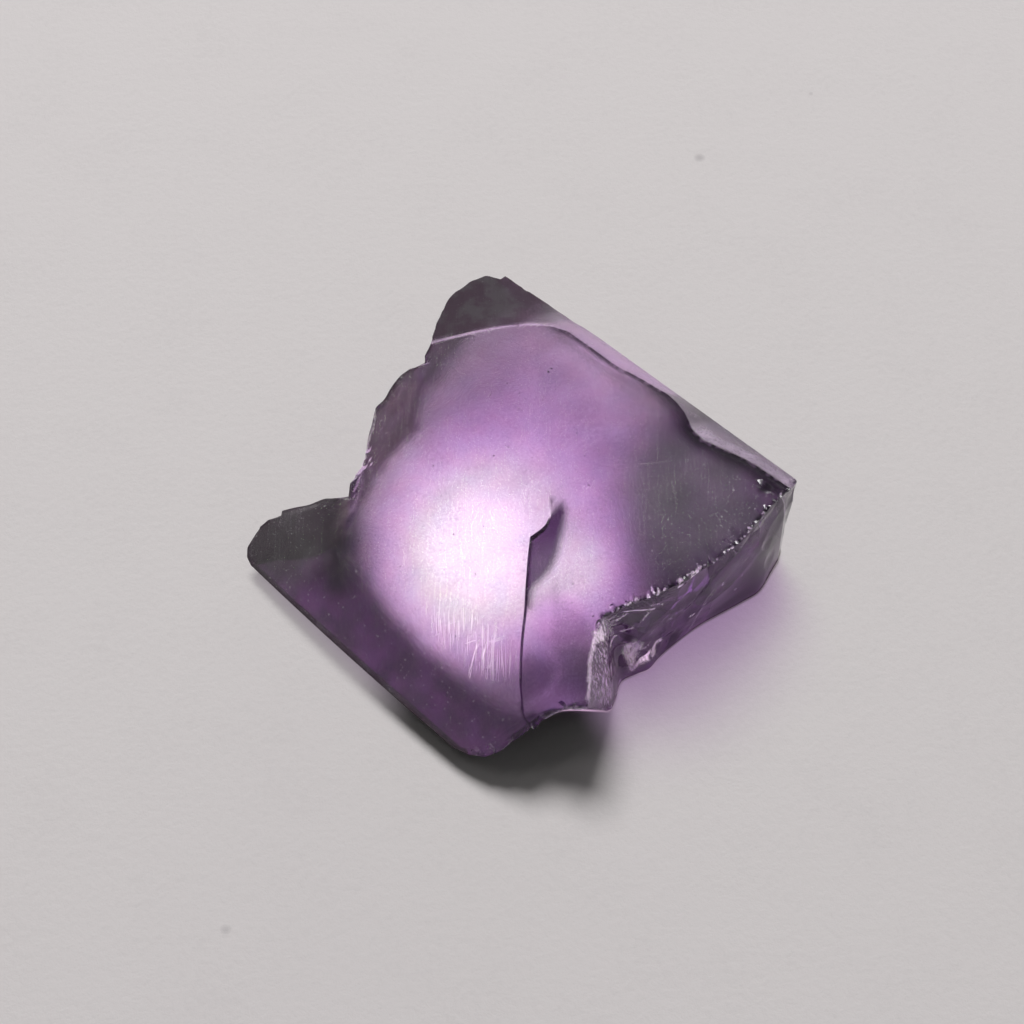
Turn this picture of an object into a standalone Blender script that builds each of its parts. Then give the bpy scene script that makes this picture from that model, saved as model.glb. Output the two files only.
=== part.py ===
"""Rough alexandrite: one broken chunk of a rounded, see-through crystal.

The chunk is a square block lying cornerwise. Its top is the crystal's own
rounded skin, two of its sides are flat saw cuts, and the other two sides are
shell-shaped breaks. It is one solid, so it is one object.

The design frame has "along" (the axis of the rounded skin) and "across" it.
Lengths in the tables are millimetres, and Blender's units are metres.
"""
import math
import random

import bmesh
import bpy
from mathutils import Matrix, Vector
from mathutils.geometry import delaunay_2d_cdt

MM = 0.001
TURN = math.radians(-45.0)

# The rounded skin: a cylinder that also falls a little toward both ends.
SKIN_RADIUS = 19.0
CREST_ACROSS = 4.0
CREST_HEIGHT = 6.5
END_RADIUS = 70.0

# Mesh size.
TOP_SPACING = 0.68
BASE_SPACING = 2.4
SEED = 11

# The far break's rim has crumbled into small chips.
CHIP_SPACING = 0.30
CHIP_SIZE = 0.16
CHIP_BAND = 0.38

# The crest line parts the skin from the shoulder that slopes to the far cut.
# Its first five points run along a narrow bevel beside the far lobe.
CREST_LINE = (
    (-8.2, 2.3), (-7.52, 3.39), (-6.99, 4.25), (-6.5, 5.03), (-5.68, 6.12), (-5.02, 6.72), (-4.25, 7.09),
    (-2.91, 7.12), (-1.69, 7.12), (-1.12, 7.17), (-0.12, 7.4), (0.68, 7.51), (1.29, 7.63),
    (1.9, 7.58), (2.5, 7.42), (2.95, 7.2), (3.42, 6.93), (4.15, 6.84), (4.9, 7.11),
    (6.24, 7.58), (8.35, 7.9),
)
BEVEL_SHARE = 0.29
BEVEL_WIDTH = 0.34
BEVEL_DROP = 0.16
CREST_DIP = 0.06
CREST_DIP_REACH = 0.5

# The far saw cut meets the shoulder along one nearly straight edge.
FAR_EDGE = ((-8.95, 7.80, 5.40), (-3.50, 8.25, 5.33), (7.95, 8.85, 4.92))

# The near saw cut is a plane that leans out from this foot line.
NEAR_FOOT_ACROSS = -8.6
NEAR_LEAN = math.radians(45.0)
NEAR_LEFT = -7.9
NEAR_RIGHT = 5.2

# A flake has come off the skin: its scar starts at this step.
STEP_LINE = (
    (1.45, 0.02), (1.77, -0.26), (2.02, -0.5), (2.21, -0.76), (2.3, -1.02), (2.27, -1.33), (2.16, -1.79),
    (2.71, -2.48), (3.43, -3.33), (4.14, -4.12), (4.72, -4.87), (5.28, -5.53), (5.96, -6.24), (6.74, -6.87),
    (7.02, -6.99), (7.53, -7.08),
)
STEP_FOOT_END = (7.58, -6.92)
STEP_WIDTH = 0.10
STEP_DROP = 0.36
SCAR_REACH = 4.6
SCAR_OPENS = 3.0

# The worn bevel along the left end's upper edge.
WORN_EDGE = ((-6.2, -5.35), (-6.75, -5.65), (-7.25, -6.15), (-7.75, -6.6), (-8.2, -7.15))
WORN_WIDTH = 0.42
WORN_FALL = 0.26

# Shell-shaped hollows pressed into the broken sides, as breaks in glass are:
# centre (along, across, height), radius, depth.
HOLLOWS = (
    ((7.5, -0.9, 4.3), 1.5, 0.22),
    ((7.1, -1.7, 2.6), 1.2, 0.30),
    ((7.8, 0.3, 1.6), 1.1, 0.16),
    ((8.5, 3.4, 4.7), 2.4, 0.22),
    ((8.4, 4.8, 1.3), 1.9, 0.14),
    ((7.2, -6.4, 1.5), 1.9, 0.28),
    ((8.3, -4.9, 1.9), 1.2, 0.15),
    ((-6.6, -4.4, 2.6), 1.9, 0.40),
    ((-8.1, -0.4, 3.6), 2.3, 0.32),
    ((-8.2, 1.9, 2.4), 1.4, 0.22),
    ((-9.1, 5.4, 3.2), 2.6, 0.40),
)

# Small pits in the skin: along, across, half length, half width, depth.
PITS = (
    (7.55, 7.0, 0.42, 0.28, 0.18),
    (0.4, -5.1, 0.16, 0.12, 0.05),
    (-3.1, -6.9, 0.14, 0.12, 0.05),
)

# Columns of the sides, counter-clockwise from the right end of the near cut:
# rim (along, across), upper ledge (along, across, height),
# lower ledge (along, across, height), foot (along, across).
NEAR_TIP = (
    ((5.85, -9.25), (5.75, -9.0, 0.6), (5.6, -8.8, 0.3), (5.4, -8.5)),
    ((6.4, -9.0), (6.2, -8.7, 0.7), (6.0, -8.5, 0.3), (5.7, -8.2)),
    ((6.65, -8.85), (6.5, -8.5, 0.85), (6.2, -8.2, 0.4), (5.8, -7.9)),
    ((7.05, -8.35), (6.8, -7.9, 1.1), (6.5, -7.6, 0.5), (6.0, -7.4)),
    ((7.2, -7.95), (6.9, -7.5, 1.35), (6.6, -7.2, 0.6), (6.05, -7.0)),
    ((7.4, -7.5), (7.1, -7.05, 1.55), (6.75, -6.7, 0.65), (6.1, -6.5)),
    (STEP_LINE[-1], (7.2, -6.6, 1.7), (6.85, -6.2, 0.7), (6.2, -6.0)),
    (STEP_FOOT_END, (7.2, -6.4, 1.6), (6.85, -6.0, 0.7), (6.25, -5.8)),
)
SHEET_EDGE = (
    ((7.65, -6.6), (7.25, -6.0, 1.65), (6.95, -5.6, 0.75), (6.35, -5.4)),
    ((7.85, -6.2), (7.4, -5.6, 1.7), (7.1, -5.1, 0.8), (6.5, -5.0)),
    ((8.05, -5.9), (7.6, -5.2, 1.75), (7.3, -4.7, 0.8), (6.8, -4.5)),
    ((8.2, -5.7), (7.8, -4.9, 1.8), (7.55, -4.4, 0.8), (7.15, -4.1)),
    ((8.55, -5.5), (8.1, -4.5, 1.9), (7.9, -4.0, 0.85), (7.6, -3.7)),
    ((8.9, -5.2), (8.6, -4.3, 2.0), (8.4, -3.7, 0.9), (8.1, -3.25)),
)
FROSTED_FACET = (
    ((8.65, -4.9), (8.5, -4.0, 2.2), (8.4, -3.55, 1.05), (8.18, -3.20)),
    ((8.25, -4.4), (8.3, -3.7, 2.4), (8.34, -3.45, 1.15), (8.22, -3.15)),
    ((7.75, -3.85), (8.0, -3.3, 2.75), (8.25, -3.25, 1.3), (8.25, -3.09)),
    ((7.45, -3.4), (7.75, -2.9, 3.0), (8.12, -3.05, 1.45), (8.27, -3.02)),
    ((7.1, -2.9), (7.45, -2.45, 3.35), (8.0, -2.85, 1.65), (8.28, -2.95)),
)
FAR_BREAK = (
    ((6.9, -2.25), (7.2, -2.1, 3.6), (7.85, -2.65, 1.75), (8.27, -2.88)),
    ((7.2, -1.7), (6.9, -1.7, 3.9), (7.15, -1.95, 1.9), (8.05, -2.4)),
    ((7.45, -1.15), (7.0, -1.2, 4.0), (7.05, -1.4, 2.0), (7.65, -1.65)),
    ((7.8, -0.55), (7.4, -0.65, 3.9), (7.5, -0.8, 1.9), (7.85, -0.9)),
    ((7.95, 0.0), (7.65, -0.1, 3.7), (7.85, -0.2, 1.6), (8.05, -0.3)),
    ((8.35, 0.9), (7.85, 0.8, 3.2), (7.85, 0.7, 1.3), (7.95, 0.6)),
    ((8.5, 1.7), (8.0, 1.8, 2.2), (8.0, 1.9, 0.9), (8.0, 2.0)),
    ((8.75, 2.75), (8.15, 2.9, 2.7), (8.35, 3.0, 1.8), (8.1, 3.0)),
    ((8.8, 4.0), (8.2, 3.9, 3.1), (8.55, 4.0, 2.0), (8.35, 4.1)),
    ((8.7, 4.9), (8.2, 4.9, 3.45), (8.55, 4.95, 2.2), (8.6, 5.15)),
    ((8.5, 6.15), (8.2, 5.9, 3.75), (8.45, 6.0, 2.75), (8.75, 6.1)),
    ((8.4, 7.2), (8.15, 7.0, 4.3), (8.3, 7.05, 3.7), (8.45, 7.2)),
    ((8.35, 7.9), (8.15, 7.75, 4.8), (8.25, 7.85, 4.3), (8.25, 7.9)),
    (FAR_EDGE[2][:2], (7.97, 8.75, 3.5), (7.95, 8.5, 1.9), (7.95, 8.45)),
)
FAR_CUT = (
    (FAR_EDGE[1][:2], (-3.5, 8.3, 3.5), (-3.5, 8.3, 1.8), (-3.5, 8.3)),
    (FAR_EDGE[0][:2], (-8.85, 7.9, 3.6), (-8.7, 8.0, 1.8), (-8.5, 8.1)),
)
LOBE = (
    ((-8.95, 7.5), (-8.85, 7.4, 3.5), (-8.75, 7.5, 1.7), (-8.6, 7.5)),
    ((-9.25, 7.35), (-9.0, 7.1, 3.5), (-8.8, 7.1, 1.7), (-8.65, 7.1)),
    ((-9.55, 7.1), (-9.2, 6.8, 3.3), (-8.9, 6.7, 1.6), (-8.7, 6.7)),
    ((-9.7, 6.6), (-9.3, 6.4, 3.2), (-8.95, 6.2, 1.6), (-8.75, 6.2)),
    ((-9.75, 5.75), (-9.3, 5.6, 3.1), (-9.0, 5.4, 1.5), (-8.7, 5.4)),
    ((-9.65, 4.95), (-9.2, 4.9, 3.2), (-8.9, 4.8, 1.5), (-8.6, 4.7)),
    ((-9.35, 4.25), (-9.0, 4.2, 3.4), (-8.7, 4.1, 1.6), (-8.45, 4.0)),
    ((-9.0, 3.55), (-8.7, 3.5, 3.6), (-8.5, 3.4, 1.8), (-8.3, 3.3)),
    ((-8.6, 2.9), (-8.5, 2.9, 3.7), (-8.3, 2.8, 1.9), (-8.2, 2.8)),
    ((-8.35, 2.5), (-8.3, 2.5, 3.8), (-8.2, 2.5, 1.9), (-8.1, 2.5)),
)
LEFT_BREAK = (
    (CREST_LINE[0], (-8.2, 2.1, 4.2), (-8.1, 2.1, 2.0), (-8.0, 2.1)),
    ((-7.9, 1.65), (-8.02, 1.6, 4.1), (-7.85, 1.6, 2.0), (-7.52, 1.6)),
    ((-7.75, 1.05), (-7.83, 1.1, 4.0), (-7.5, 1.1, 2.0), (-7.03, 1.1)),
    ((-7.95, 0.8), (-7.9, 0.8, 3.9), (-7.35, 0.8, 2.0), (-6.75, 0.8)),
    ((-8.0, 0.3), (-8.0, 0.2, 3.7), (-7.45, 0.2, 1.9), (-6.8, 0.2)),
    ((-7.9, -0.35), (-7.95, -0.4, 3.6), (-7.45, -0.4, 1.9), (-6.8, -0.4)),
    ((-7.7, -1.0), (-7.75, -1.0, 3.5), (-7.35, -1.0, 1.8), (-6.75, -1.0)),
    ((-7.7, -1.55), (-7.7, -1.5, 3.4), (-7.25, -1.5, 1.7), (-6.65, -1.5)),
    ((-7.3, -2.15), (-7.4, -2.0, 3.4), (-7.05, -2.0, 1.7), (-6.55, -2.0)),
    ((-6.9, -2.8), (-7.05, -2.6, 3.3), (-6.75, -2.6, 1.7), (-6.25, -2.6)),
    ((-6.45, -3.5), (-6.65, -3.3, 3.2), (-6.35, -3.3, 1.6), (-5.95, -3.3)),
    ((-6.25, -4.2), (-6.4, -4.0, 3.0), (-6.05, -4.0, 1.5), (-5.65, -4.0)),
    ((-6.15, -4.7), (-6.3, -4.5, 2.8), (-5.95, -4.5, 1.4), (-5.55, -4.5)),
    ((-6.2, -5.35), (-6.3, -5.1, 2.6), (-5.95, -5.1, 1.3), (-5.55, -5.0)),
    (WORN_EDGE[1], (-6.55, -5.5, 2.4), (-6.05, -5.5, 1.2), (-5.65, -5.5)),
    (WORN_EDGE[2], (-6.9, -6.1, 2.1), (-6.3, -6.1, 1.0), (-5.8, -6.1)),
    (WORN_EDGE[3], (-7.35, -6.6, 1.8), (-6.65, -6.6, 0.9), (-6.15, -6.6)),
    (WORN_EDGE[4], (-7.8, -7.2, 1.5), (-7.2, -7.2, 0.7), (-6.73, -7.2)),
    ((-8.5, -7.8), (-8.15, -7.75, 1.1), (-7.65, -7.75, 0.5), (-7.21, -7.7)),
    ((-8.7, -8.35), (-8.35, -8.25, 0.8), (-7.95, -8.2, 0.4), (-7.54, -8.15)),
    ((-8.6, -8.75), (-8.3, -8.6, 0.6), (-8.0, -8.5, 0.3), (-7.72, -8.4)),
    ((-8.3, -9.1), (-8.15, -8.9, 0.42), (-7.95, -8.75, 0.2), (-7.8, -8.55)),
)


def smooth(x):
    """Ease from 0 to 1."""
    x = min(max(x, 0.0), 1.0)
    return x * x * (3.0 - 2.0 * x)


def beside(line, a, c):
    """Signed distance to a line (left is positive), share of its length, nearest point."""
    total = sum(math.dist(line[i], line[i + 1]) for i in range(len(line) - 1))
    best = None
    run = 0.0
    for (a0, c0), (a1, c1) in zip(line, line[1:]):
        da, dc = a1 - a0, c1 - c0
        size = math.hypot(da, dc)
        t = ((a - a0) * da + (c - c0) * dc) / size ** 2
        t = min(max(t, 0.0), 1.0)
        near = (a0 + t * da, c0 + t * dc)
        gap = math.hypot(a - near[0], c - near[1])
        turn = da * (c - c0) - dc * (a - a0)
        if best is None or gap < abs(best[0]) - 1e-9:
            best = (math.copysign(gap, turn), (run + t * size) / total, near)
        run += size
    return best


def skin_height(a, c):
    """Height of the unbroken rounded skin."""
    round_fall = SKIN_RADIUS - math.sqrt(SKIN_RADIUS ** 2 - (c - CREST_ACROSS) ** 2)
    end_fall = (a - 0.5) ** 2 / (2.0 * END_RADIUS)
    return CREST_HEIGHT - round_fall - end_fall


def scar_depth(a, c):
    """How far the flake scar lies below the skin."""
    side = beside(STEP_LINE, a, c)[0]
    if side <= 0.0:
        return 0.0
    (a0, c0), (a1, c1) = STEP_LINE[0], STEP_LINE[-1]
    ahead = ((a - a0) * (a1 - a0) + (c - c0) * (c1 - c0)) / math.dist(STEP_LINE[0], STEP_LINE[-1])
    fade = max(1.0 - side / SCAR_REACH, 0.0) ** 1.3
    return STEP_DROP * smooth(ahead / SCAR_OPENS) * smooth(side / STEP_WIDTH) * fade


def pit_depth(a, c):
    """Small rounded pits in the skin."""
    depth = 0.0
    for pa, pc, half_long, half_wide, deep in PITS:
        r = math.hypot((a - pa) / half_long, (c - pc) / half_wide)
        depth += deep * (1.0 - smooth(r / 1.2))
    return depth


def edge_fall(a, c):
    """The left end's upper edge has a narrow worn bevel."""
    side, share, _ = beside(WORN_EDGE, a, c)
    return WORN_FALL * (1.0 - smooth(abs(side) / WORN_WIDTH)) * math.sin(math.pi * share)


def far_edge(a):
    """Across position and height of the far edge."""
    start, middle, end = FAR_EDGE
    if a > middle[0]:
        start, middle = middle, end
    t = (a - start[0]) / (middle[0] - start[0])
    return start[1] + t * (middle[1] - start[1]), start[2] + t * (middle[2] - start[2])


def near_cut(a):
    """One column of the near saw cut, where its plane meets the skin."""
    rise = skin_height(a, NEAR_FOOT_ACROSS)
    for _ in range(30):
        rise = (rise + skin_height(a, NEAR_FOOT_ACROSS - rise * math.tan(NEAR_LEAN))) / 2.0
    lean = rise * math.tan(NEAR_LEAN)
    rows = [(a, NEAR_FOOT_ACROSS - t * lean, t * rise) for t in (1.0, 0.67, 0.33, 0.0)]
    return (rows[0][:2], rows[1], rows[2], rows[3][:2])


def top_height(a, c):
    """Height of the whole upper face."""
    side, share, near = beside(CREST_LINE, a, c)
    if side <= 0.0:
        dip = CREST_DIP * smooth(1.0 + side / CREST_DIP_REACH) * smooth((share - BEVEL_SHARE) * 8.0)
        return skin_height(a, c) - dip - scar_depth(a, c) - pit_depth(a, c) - edge_fall(a, c)
    across, height = far_edge(a)
    t = side / (side + max(across - c, 0.0) + 1e-6)
    crest = skin_height(*near) - CREST_DIP * smooth((share - BEVEL_SHARE) * 8.0)
    bump = math.sin(math.pi * min(share / BEVEL_SHARE, 1.0))
    bevel = BEVEL_DROP * bump * smooth(side / (0.05 + BEVEL_WIDTH * bump))
    return crest + t * (height - crest) - bevel * (1.0 - t)


def between(start, end, spacing):
    """Evenly spaced columns from one column up to the next."""
    count = max(1, round(math.dist(start[0], end[0]) / spacing))
    for i in range(count):
        t = i / count
        yield [tuple(x + t * (y - x) for x, y in zip(p, q)) for p, q in zip(start, end)]


def side_columns():
    """All columns round the stone, refined to the mesh size."""
    near = [near_cut(NEAR_LEFT + t * (NEAR_RIGHT - NEAR_LEFT) / 14.0) for t in range(15)]
    sides = (near, NEAR_TIP, SHEET_EDGE, FROSTED_FACET, FAR_BREAK, FAR_CUT, LOBE, LEFT_BREAK)
    named = [column for side in sides for column in side]
    first_chip = named.index(FAR_BREAK[0])
    far_corner = named.index(FAR_BREAK[-1])
    far_left = named.index(FAR_CUT[-1])
    chips = random.Random(SEED)
    columns = []
    for i, start in enumerate(named):
        end = named[(i + 1) % len(named)]
        crumbled = first_chip <= i < far_corner - 1
        spacing = CHIP_SPACING if crumbled else TOP_SPACING
        for k, column in enumerate(between(start, end, spacing)):
            rim = column[0]
            height = top_height(*rim)
            if far_corner <= i < far_left or (i == far_left and k == 0):
                height = far_edge(rim[0])[1]
            if crumbled and (k or i > first_chip):
                rim = (rim[0] - chips.uniform(0.0, CHIP_SIZE), rim[1] + chips.uniform(-0.05, 0.05))
                height -= chips.uniform(0.0, CHIP_SIZE)
            columns.append([(*rim, height), column[1], column[2], (*column[3], 0.0)])
    return columns


def hollow_depth(a, c, z):
    """How deep the shell-shaped hollows reach at one point of the sides."""
    depth = 0.0
    for centre, radius, deep in HOLLOWS:
        r = math.dist((a, c, z), centre) / radius
        depth = max(depth, deep * (1.0 - r * r))
    return depth


def side_rows(column, outward):
    """One column from rim to foot, with rows between its named levels."""
    rows = []
    top = column[0][2]
    for start, end in zip(column, column[1:]):
        for t in (0.0, 0.5):
            a, c, z = (x + t * (y - x) for x, y in zip(start, end))
            push = hollow_depth(a, c, z) * smooth(z / 0.7) * smooth((top - z) / 0.5)
            rows.append((a - push * outward[0], c - push * outward[1], z))
    return rows + [column[-1]]


def outward_at(loop, i):
    """Level direction pointing out of a counter-clockwise outline at one corner."""
    before, after = loop[i - 3], loop[(i + 3) % len(loop)]
    size = math.dist(before, after)
    return (after[1] - before[1]) / size, -(after[0] - before[0]) / size


def inside(loop, a, c):
    """True where a point lies inside a closed outline."""
    hit = False
    for (a0, c0), (a1, c1) in zip(loop, loop[1:] + loop[:1]):
        if (c0 > c) != (c1 > c) and a < a0 + (c - c0) * (a1 - a0) / (c1 - c0):
            hit = not hit
    return hit


def fill(loop, lines, spacing, chooser):
    """Triangles inside an outline that follow the given lines."""
    points = list(loop)
    edges = [(i, (i + 1) % len(loop)) for i in range(len(loop))]
    for line in lines:
        keys = []
        for point in line:
            close = [k for k, q in enumerate(points) if math.dist(point, q) < 0.02]
            if not close:
                points.append(point)
            keys.append(close[0] if close else len(points) - 1)
        edges += list(zip(keys, keys[1:]))
    fixed = list(edges)
    row = 0
    c = min(p[1] for p in loop)
    while c < max(p[1] for p in loop):
        a = min(p[0] for p in loop) + (row % 2) * spacing / 2.0
        while a < max(p[0] for p in loop):
            nudge = [chooser.uniform(-0.12, 0.12) * spacing for _ in range(2)]
            spot = (a + nudge[0], c + nudge[1])
            if inside(loop, *spot):
                gaps = [abs(beside((points[i], points[j]), *spot)[0]) for i, j in fixed]
                if min(gaps) > 0.45 * spacing:
                    points.append(spot)
            a += spacing
        c += spacing * 0.866
        row += 1
    flat = [Vector(p) for p in points]
    corners, _, faces, _, _, _ = delaunay_2d_cdt(flat, edges, [], 1, 1e-6)
    return corners, faces


def refined(line, spacing):
    """The same line with more points on it."""
    dense = []
    for start, end in zip(line, line[1:]):
        count = max(1, round(math.dist(start, end) / spacing))
        dense += [tuple(x + i / count * (y - x) for x, y in zip(start, end)) for i in range(count)]
    return dense + [line[-1]]


def step_foot():
    """The foot of the step, a little way to the scar's side of it."""
    line = refined(STEP_LINE, TOP_SPACING)
    foot = [line[0]]
    for before, here, after in zip(line, line[1:], line[2:]):
        da, dc = after[0] - before[0], after[1] - before[1]
        size = math.hypot(da, dc)
        foot.append((here[0] - dc / size * STEP_WIDTH, here[1] + da / size * STEP_WIDTH))
    return foot + [STEP_FOOT_END]


def bevel_foot():
    """The lower edge of the narrow bevel beside the lobe."""
    line = []
    for a, c in refined(CREST_LINE[:6], TOP_SPACING):
        share = beside(CREST_LINE, a, c)[1]
        width = BEVEL_WIDTH * math.sin(math.pi * min(share / BEVEL_SHARE, 1.0))
        line.append((a - 0.8 * width, c + 0.6 * width))
    return line


def chip_line():
    """The inner edge of the crumbled rim."""
    line = [(column[0][0] - CHIP_BAND, column[0][1]) for column in FAR_BREAK[1:-2]]
    return refined(line, 0.45)


def build_crystal():
    """The stone as one closed mesh."""
    chooser = random.Random(SEED)
    columns = side_columns()
    rim = [(p[0], p[1]) for p, _, _, _ in columns]
    crest, step = refined(CREST_LINE, TOP_SPACING), refined(STEP_LINE, TOP_SPACING)
    lines = [crest, bevel_foot(), step, step_foot(), chip_line()]
    corners, faces = fill(rim, lines, TOP_SPACING, chooser)

    bm = bmesh.new()
    verts = []
    for i, corner in enumerate(corners):
        height = columns[i][0][2] if i < len(columns) else top_height(*corner)
        verts.append(bm.verts.new((corner[0], corner[1], height)))
    for face in faces:
        bm.faces.new([verts[i] for i in face])

    loop = verts[:len(columns)]
    sides = [side_rows(column, outward_at(rim, i)) for i, column in enumerate(columns)]
    for level in range(1, len(sides[0])):
        lower = [bm.verts.new(rows[level]) for rows in sides]
        for i in range(len(columns)):
            j = (i + 1) % len(columns)
            bm.faces.new((loop[j], loop[i], lower[i], lower[j]))
        loop = lower

    foot = [(v.co.x, v.co.y) for v in loop]
    corners, faces = fill(foot, [], BASE_SPACING, chooser)
    under = loop + [bm.verts.new((p[0], p[1], 0.0)) for p in corners[len(loop):]]
    for face in faces:
        bm.faces.new([under[i] for i in reversed(face)])

    bmesh.ops.triangulate(bm, faces=[f for f in bm.faces if len(f.verts) > 3])
    bmesh.ops.recalc_face_normals(bm, faces=bm.faces[:])
    return bm


def clear_scene():
    for thing in list(bpy.data.objects):
        bpy.data.objects.remove(thing, do_unlink=True)


def crystal_material():
    material = bpy.data.materials.new("purple_crystal")
    material.use_nodes = True
    shader = material.node_tree.nodes["Principled BSDF"]
    shader.inputs["Base Color"].default_value = (0.30, 0.16, 0.36, 1.0)
    shader.inputs["Roughness"].default_value = 0.32
    shader.inputs["Metallic"].default_value = 0.0
    shader.inputs["IOR"].default_value = 1.75
    return material


clear_scene()
crystal = build_crystal()
turn = Matrix.Rotation(TURN, 3, "Z")
bmesh.ops.rotate(crystal, verts=crystal.verts[:], cent=(0.0, 0.0, 0.0), matrix=turn)
low = [min(v.co[k] for v in crystal.verts) for k in range(3)]
high = [max(v.co[k] for v in crystal.verts) for k in range(3)]
centre = Vector(((low[0] + high[0]) / 2.0, (low[1] + high[1]) / 2.0, low[2]))
bmesh.ops.translate(crystal, verts=crystal.verts[:], vec=-centre)
bmesh.ops.scale(crystal, verts=crystal.verts[:], vec=(MM, MM, MM))
mesh = bpy.data.meshes.new("alexandrite_crystal")
crystal.to_mesh(mesh)
crystal.free()
mesh.materials.append(crystal_material())
stone = bpy.data.objects.new("alexandrite_crystal", mesh)
bpy.context.scene.collection.objects.link(stone)
print("stone", len(mesh.polygons), "triangles, centre", [round(x, 3) for x in centre])
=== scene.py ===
import math

import bpy
import numpy as np
from mathutils import Matrix, Vector
from mathutils.geometry import delaunay_2d_cdt


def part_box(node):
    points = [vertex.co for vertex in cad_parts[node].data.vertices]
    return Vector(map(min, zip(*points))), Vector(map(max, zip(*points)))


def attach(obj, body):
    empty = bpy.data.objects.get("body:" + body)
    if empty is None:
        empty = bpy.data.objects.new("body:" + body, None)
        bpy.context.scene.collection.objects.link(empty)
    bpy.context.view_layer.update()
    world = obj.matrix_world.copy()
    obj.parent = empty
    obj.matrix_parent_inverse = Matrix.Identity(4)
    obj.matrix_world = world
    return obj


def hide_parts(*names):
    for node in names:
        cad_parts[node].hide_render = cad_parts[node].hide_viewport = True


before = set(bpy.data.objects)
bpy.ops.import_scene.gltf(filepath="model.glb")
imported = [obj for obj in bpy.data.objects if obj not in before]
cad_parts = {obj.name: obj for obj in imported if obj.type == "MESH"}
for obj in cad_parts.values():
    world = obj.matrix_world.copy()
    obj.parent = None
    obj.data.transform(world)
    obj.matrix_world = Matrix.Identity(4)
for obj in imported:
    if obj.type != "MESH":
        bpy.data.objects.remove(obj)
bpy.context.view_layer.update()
print("frame loaded", sorted(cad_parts))

millimetre = 0.001
turn = math.radians(-45.0)  # the stone lies cornerwise
designCentre = (-0.2121, 0.4419)  # of the stone's footprint, before it was centred, in mm
onPaper = 1e-6  # corners lower than this lie on the underside

# The stone is drawn lying square: "along" is the axis of its rounded skin, "across" is level and
# square to that, and both are in millimetres.
stone = {
    "skinRadius": 19.0,
    "crestAlong": 0.5,
    "crestAcross": 4.0,
    "crestHeight": 6.5,
    "endRadius": 70.0,
    "gridSpacing": 0.15,
    "crumbledSpacing": 0.06,
    "crumbledBand": 0.5,
    "rimSpacing": 0.12,
    "edgeSpacing": {"farBreak": 0.045, "frosted": 0.05, "sheetEdge": 0.07, "nearTip": 0.08, "lobe": 0.09,
                    "leftBreak": 0.09, "nearSaw": 0.16, "farSaw": 0.16, "farCorner": 0.12},
    "wallRows": 64,
    "fineRows": 12,  # close together under the rim
    "fineShare": 0.32,
    "baseSpacing": 0.4,
    "sharpAngle": 15.0,
    "seed": 11,
}
partNames = ("skin", "fresh", "sawn", "frosted", "under")
partOf = {"nearSaw": "sawn", "farSaw": "sawn", "farCorner": "sawn", "frosted": "frosted"}

# How the surfaces are filled with triangles.
meshing = {"rowHeight": 0.866, "jitter": 0.12, "clear": 0.55, "weld": 0.015, "block": 4000}

# The crest parts the skin from the shoulder. A narrow bevel runs along its first points.
crestLine = [
    (-8.2, 2.3), (-7.52, 3.39), (-6.99, 4.25), (-6.5, 5.03), (-5.68, 6.12), (-5.02, 6.72), (-4.25, 7.09),
    (-2.91, 7.12), (-1.69, 7.12), (-1.12, 7.17), (-0.12, 7.4), (0.68, 7.51), (1.29, 7.63), (1.9, 7.58),
    (2.5, 7.42), (2.95, 7.2), (3.42, 6.93), (4.15, 6.84), (4.9, 7.11), (6.24, 7.58), (8.35, 7.9),
]
bevel = {"points": 6, "share": 0.29, "width": 0.34, "drop": 0.16, "toe": 0.05, "way": (-0.8, 0.6)}
crestDip = {"depth": 0.06, "reach": 0.5, "opens": 8.0}  # past the bevel the crest is rounded down
farEdge = [(-8.95, 7.80, 5.40), (-3.50, 8.25, 5.33), (7.95, 8.85, 4.92)]
nearCut = {"footAcross": -8.6, "lean": math.radians(45.0), "left": -7.9, "right": 5.2, "steps": 20}

# A flake has come off the skin: its scar starts at this step.
stepLine = [
    (1.45, 0.02), (1.77, -0.26), (2.02, -0.5), (2.21, -0.76), (2.3, -1.02), (2.27, -1.33), (2.16, -1.79),
    (2.71, -2.48), (3.43, -3.33), (4.14, -4.12), (4.72, -4.87), (5.28, -5.53), (5.96, -6.24), (6.74, -6.87),
    (7.02, -6.99), (7.53, -7.08),
]
scar = {"footEnd": (7.58, -6.92), "width": 0.10, "drop": 0.36, "reach": 4.6, "opens": 3.0, "fade": 1.3}
wornEdge = [(-6.2, -5.35), (-6.75, -5.65), (-7.25, -6.15), (-7.75, -6.6), (-8.2, -7.15)]
worn = {"width": 0.42, "fall": 0.26}

# Shell-shaped hollows in the broken sides: centre (along, across, height), radius, depth.
hollows = [
    ((7.5, -0.9, 4.3), 1.5, 0.22),
    ((7.4, -1.3, 1.4), 0.8, 0.34),
    ((7.7, -0.8, 1.1), 0.6, 0.24),
    ((7.8, -0.4, 0.6), 0.5, 0.20),
    ((7.9, 0.3, 0.8), 0.6, 0.22),
    ((8.0, 1.0, 0.5), 0.7, 0.20),
    ((7.1, -1.7, 2.6), 1.2, 0.30),
    ((7.8, 0.3, 1.6), 1.1, 0.16),
    ((8.5, 3.4, 4.7), 2.4, 0.22),
    ((8.4, 4.8, 1.3), 1.9, 0.14),
    ((7.2, -6.4, 1.5), 1.9, 0.28),
    ((8.3, -4.9, 1.9), 1.2, 0.15),
    ((-6.6, -4.4, 2.6), 1.9, 0.40),
    ((-8.1, -0.4, 3.6), 2.3, 0.32),
    ((-8.2, 1.9, 2.4), 1.4, 0.22),
    ((-9.1, 5.4, 3.2), 2.6, 0.40),
]

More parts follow.
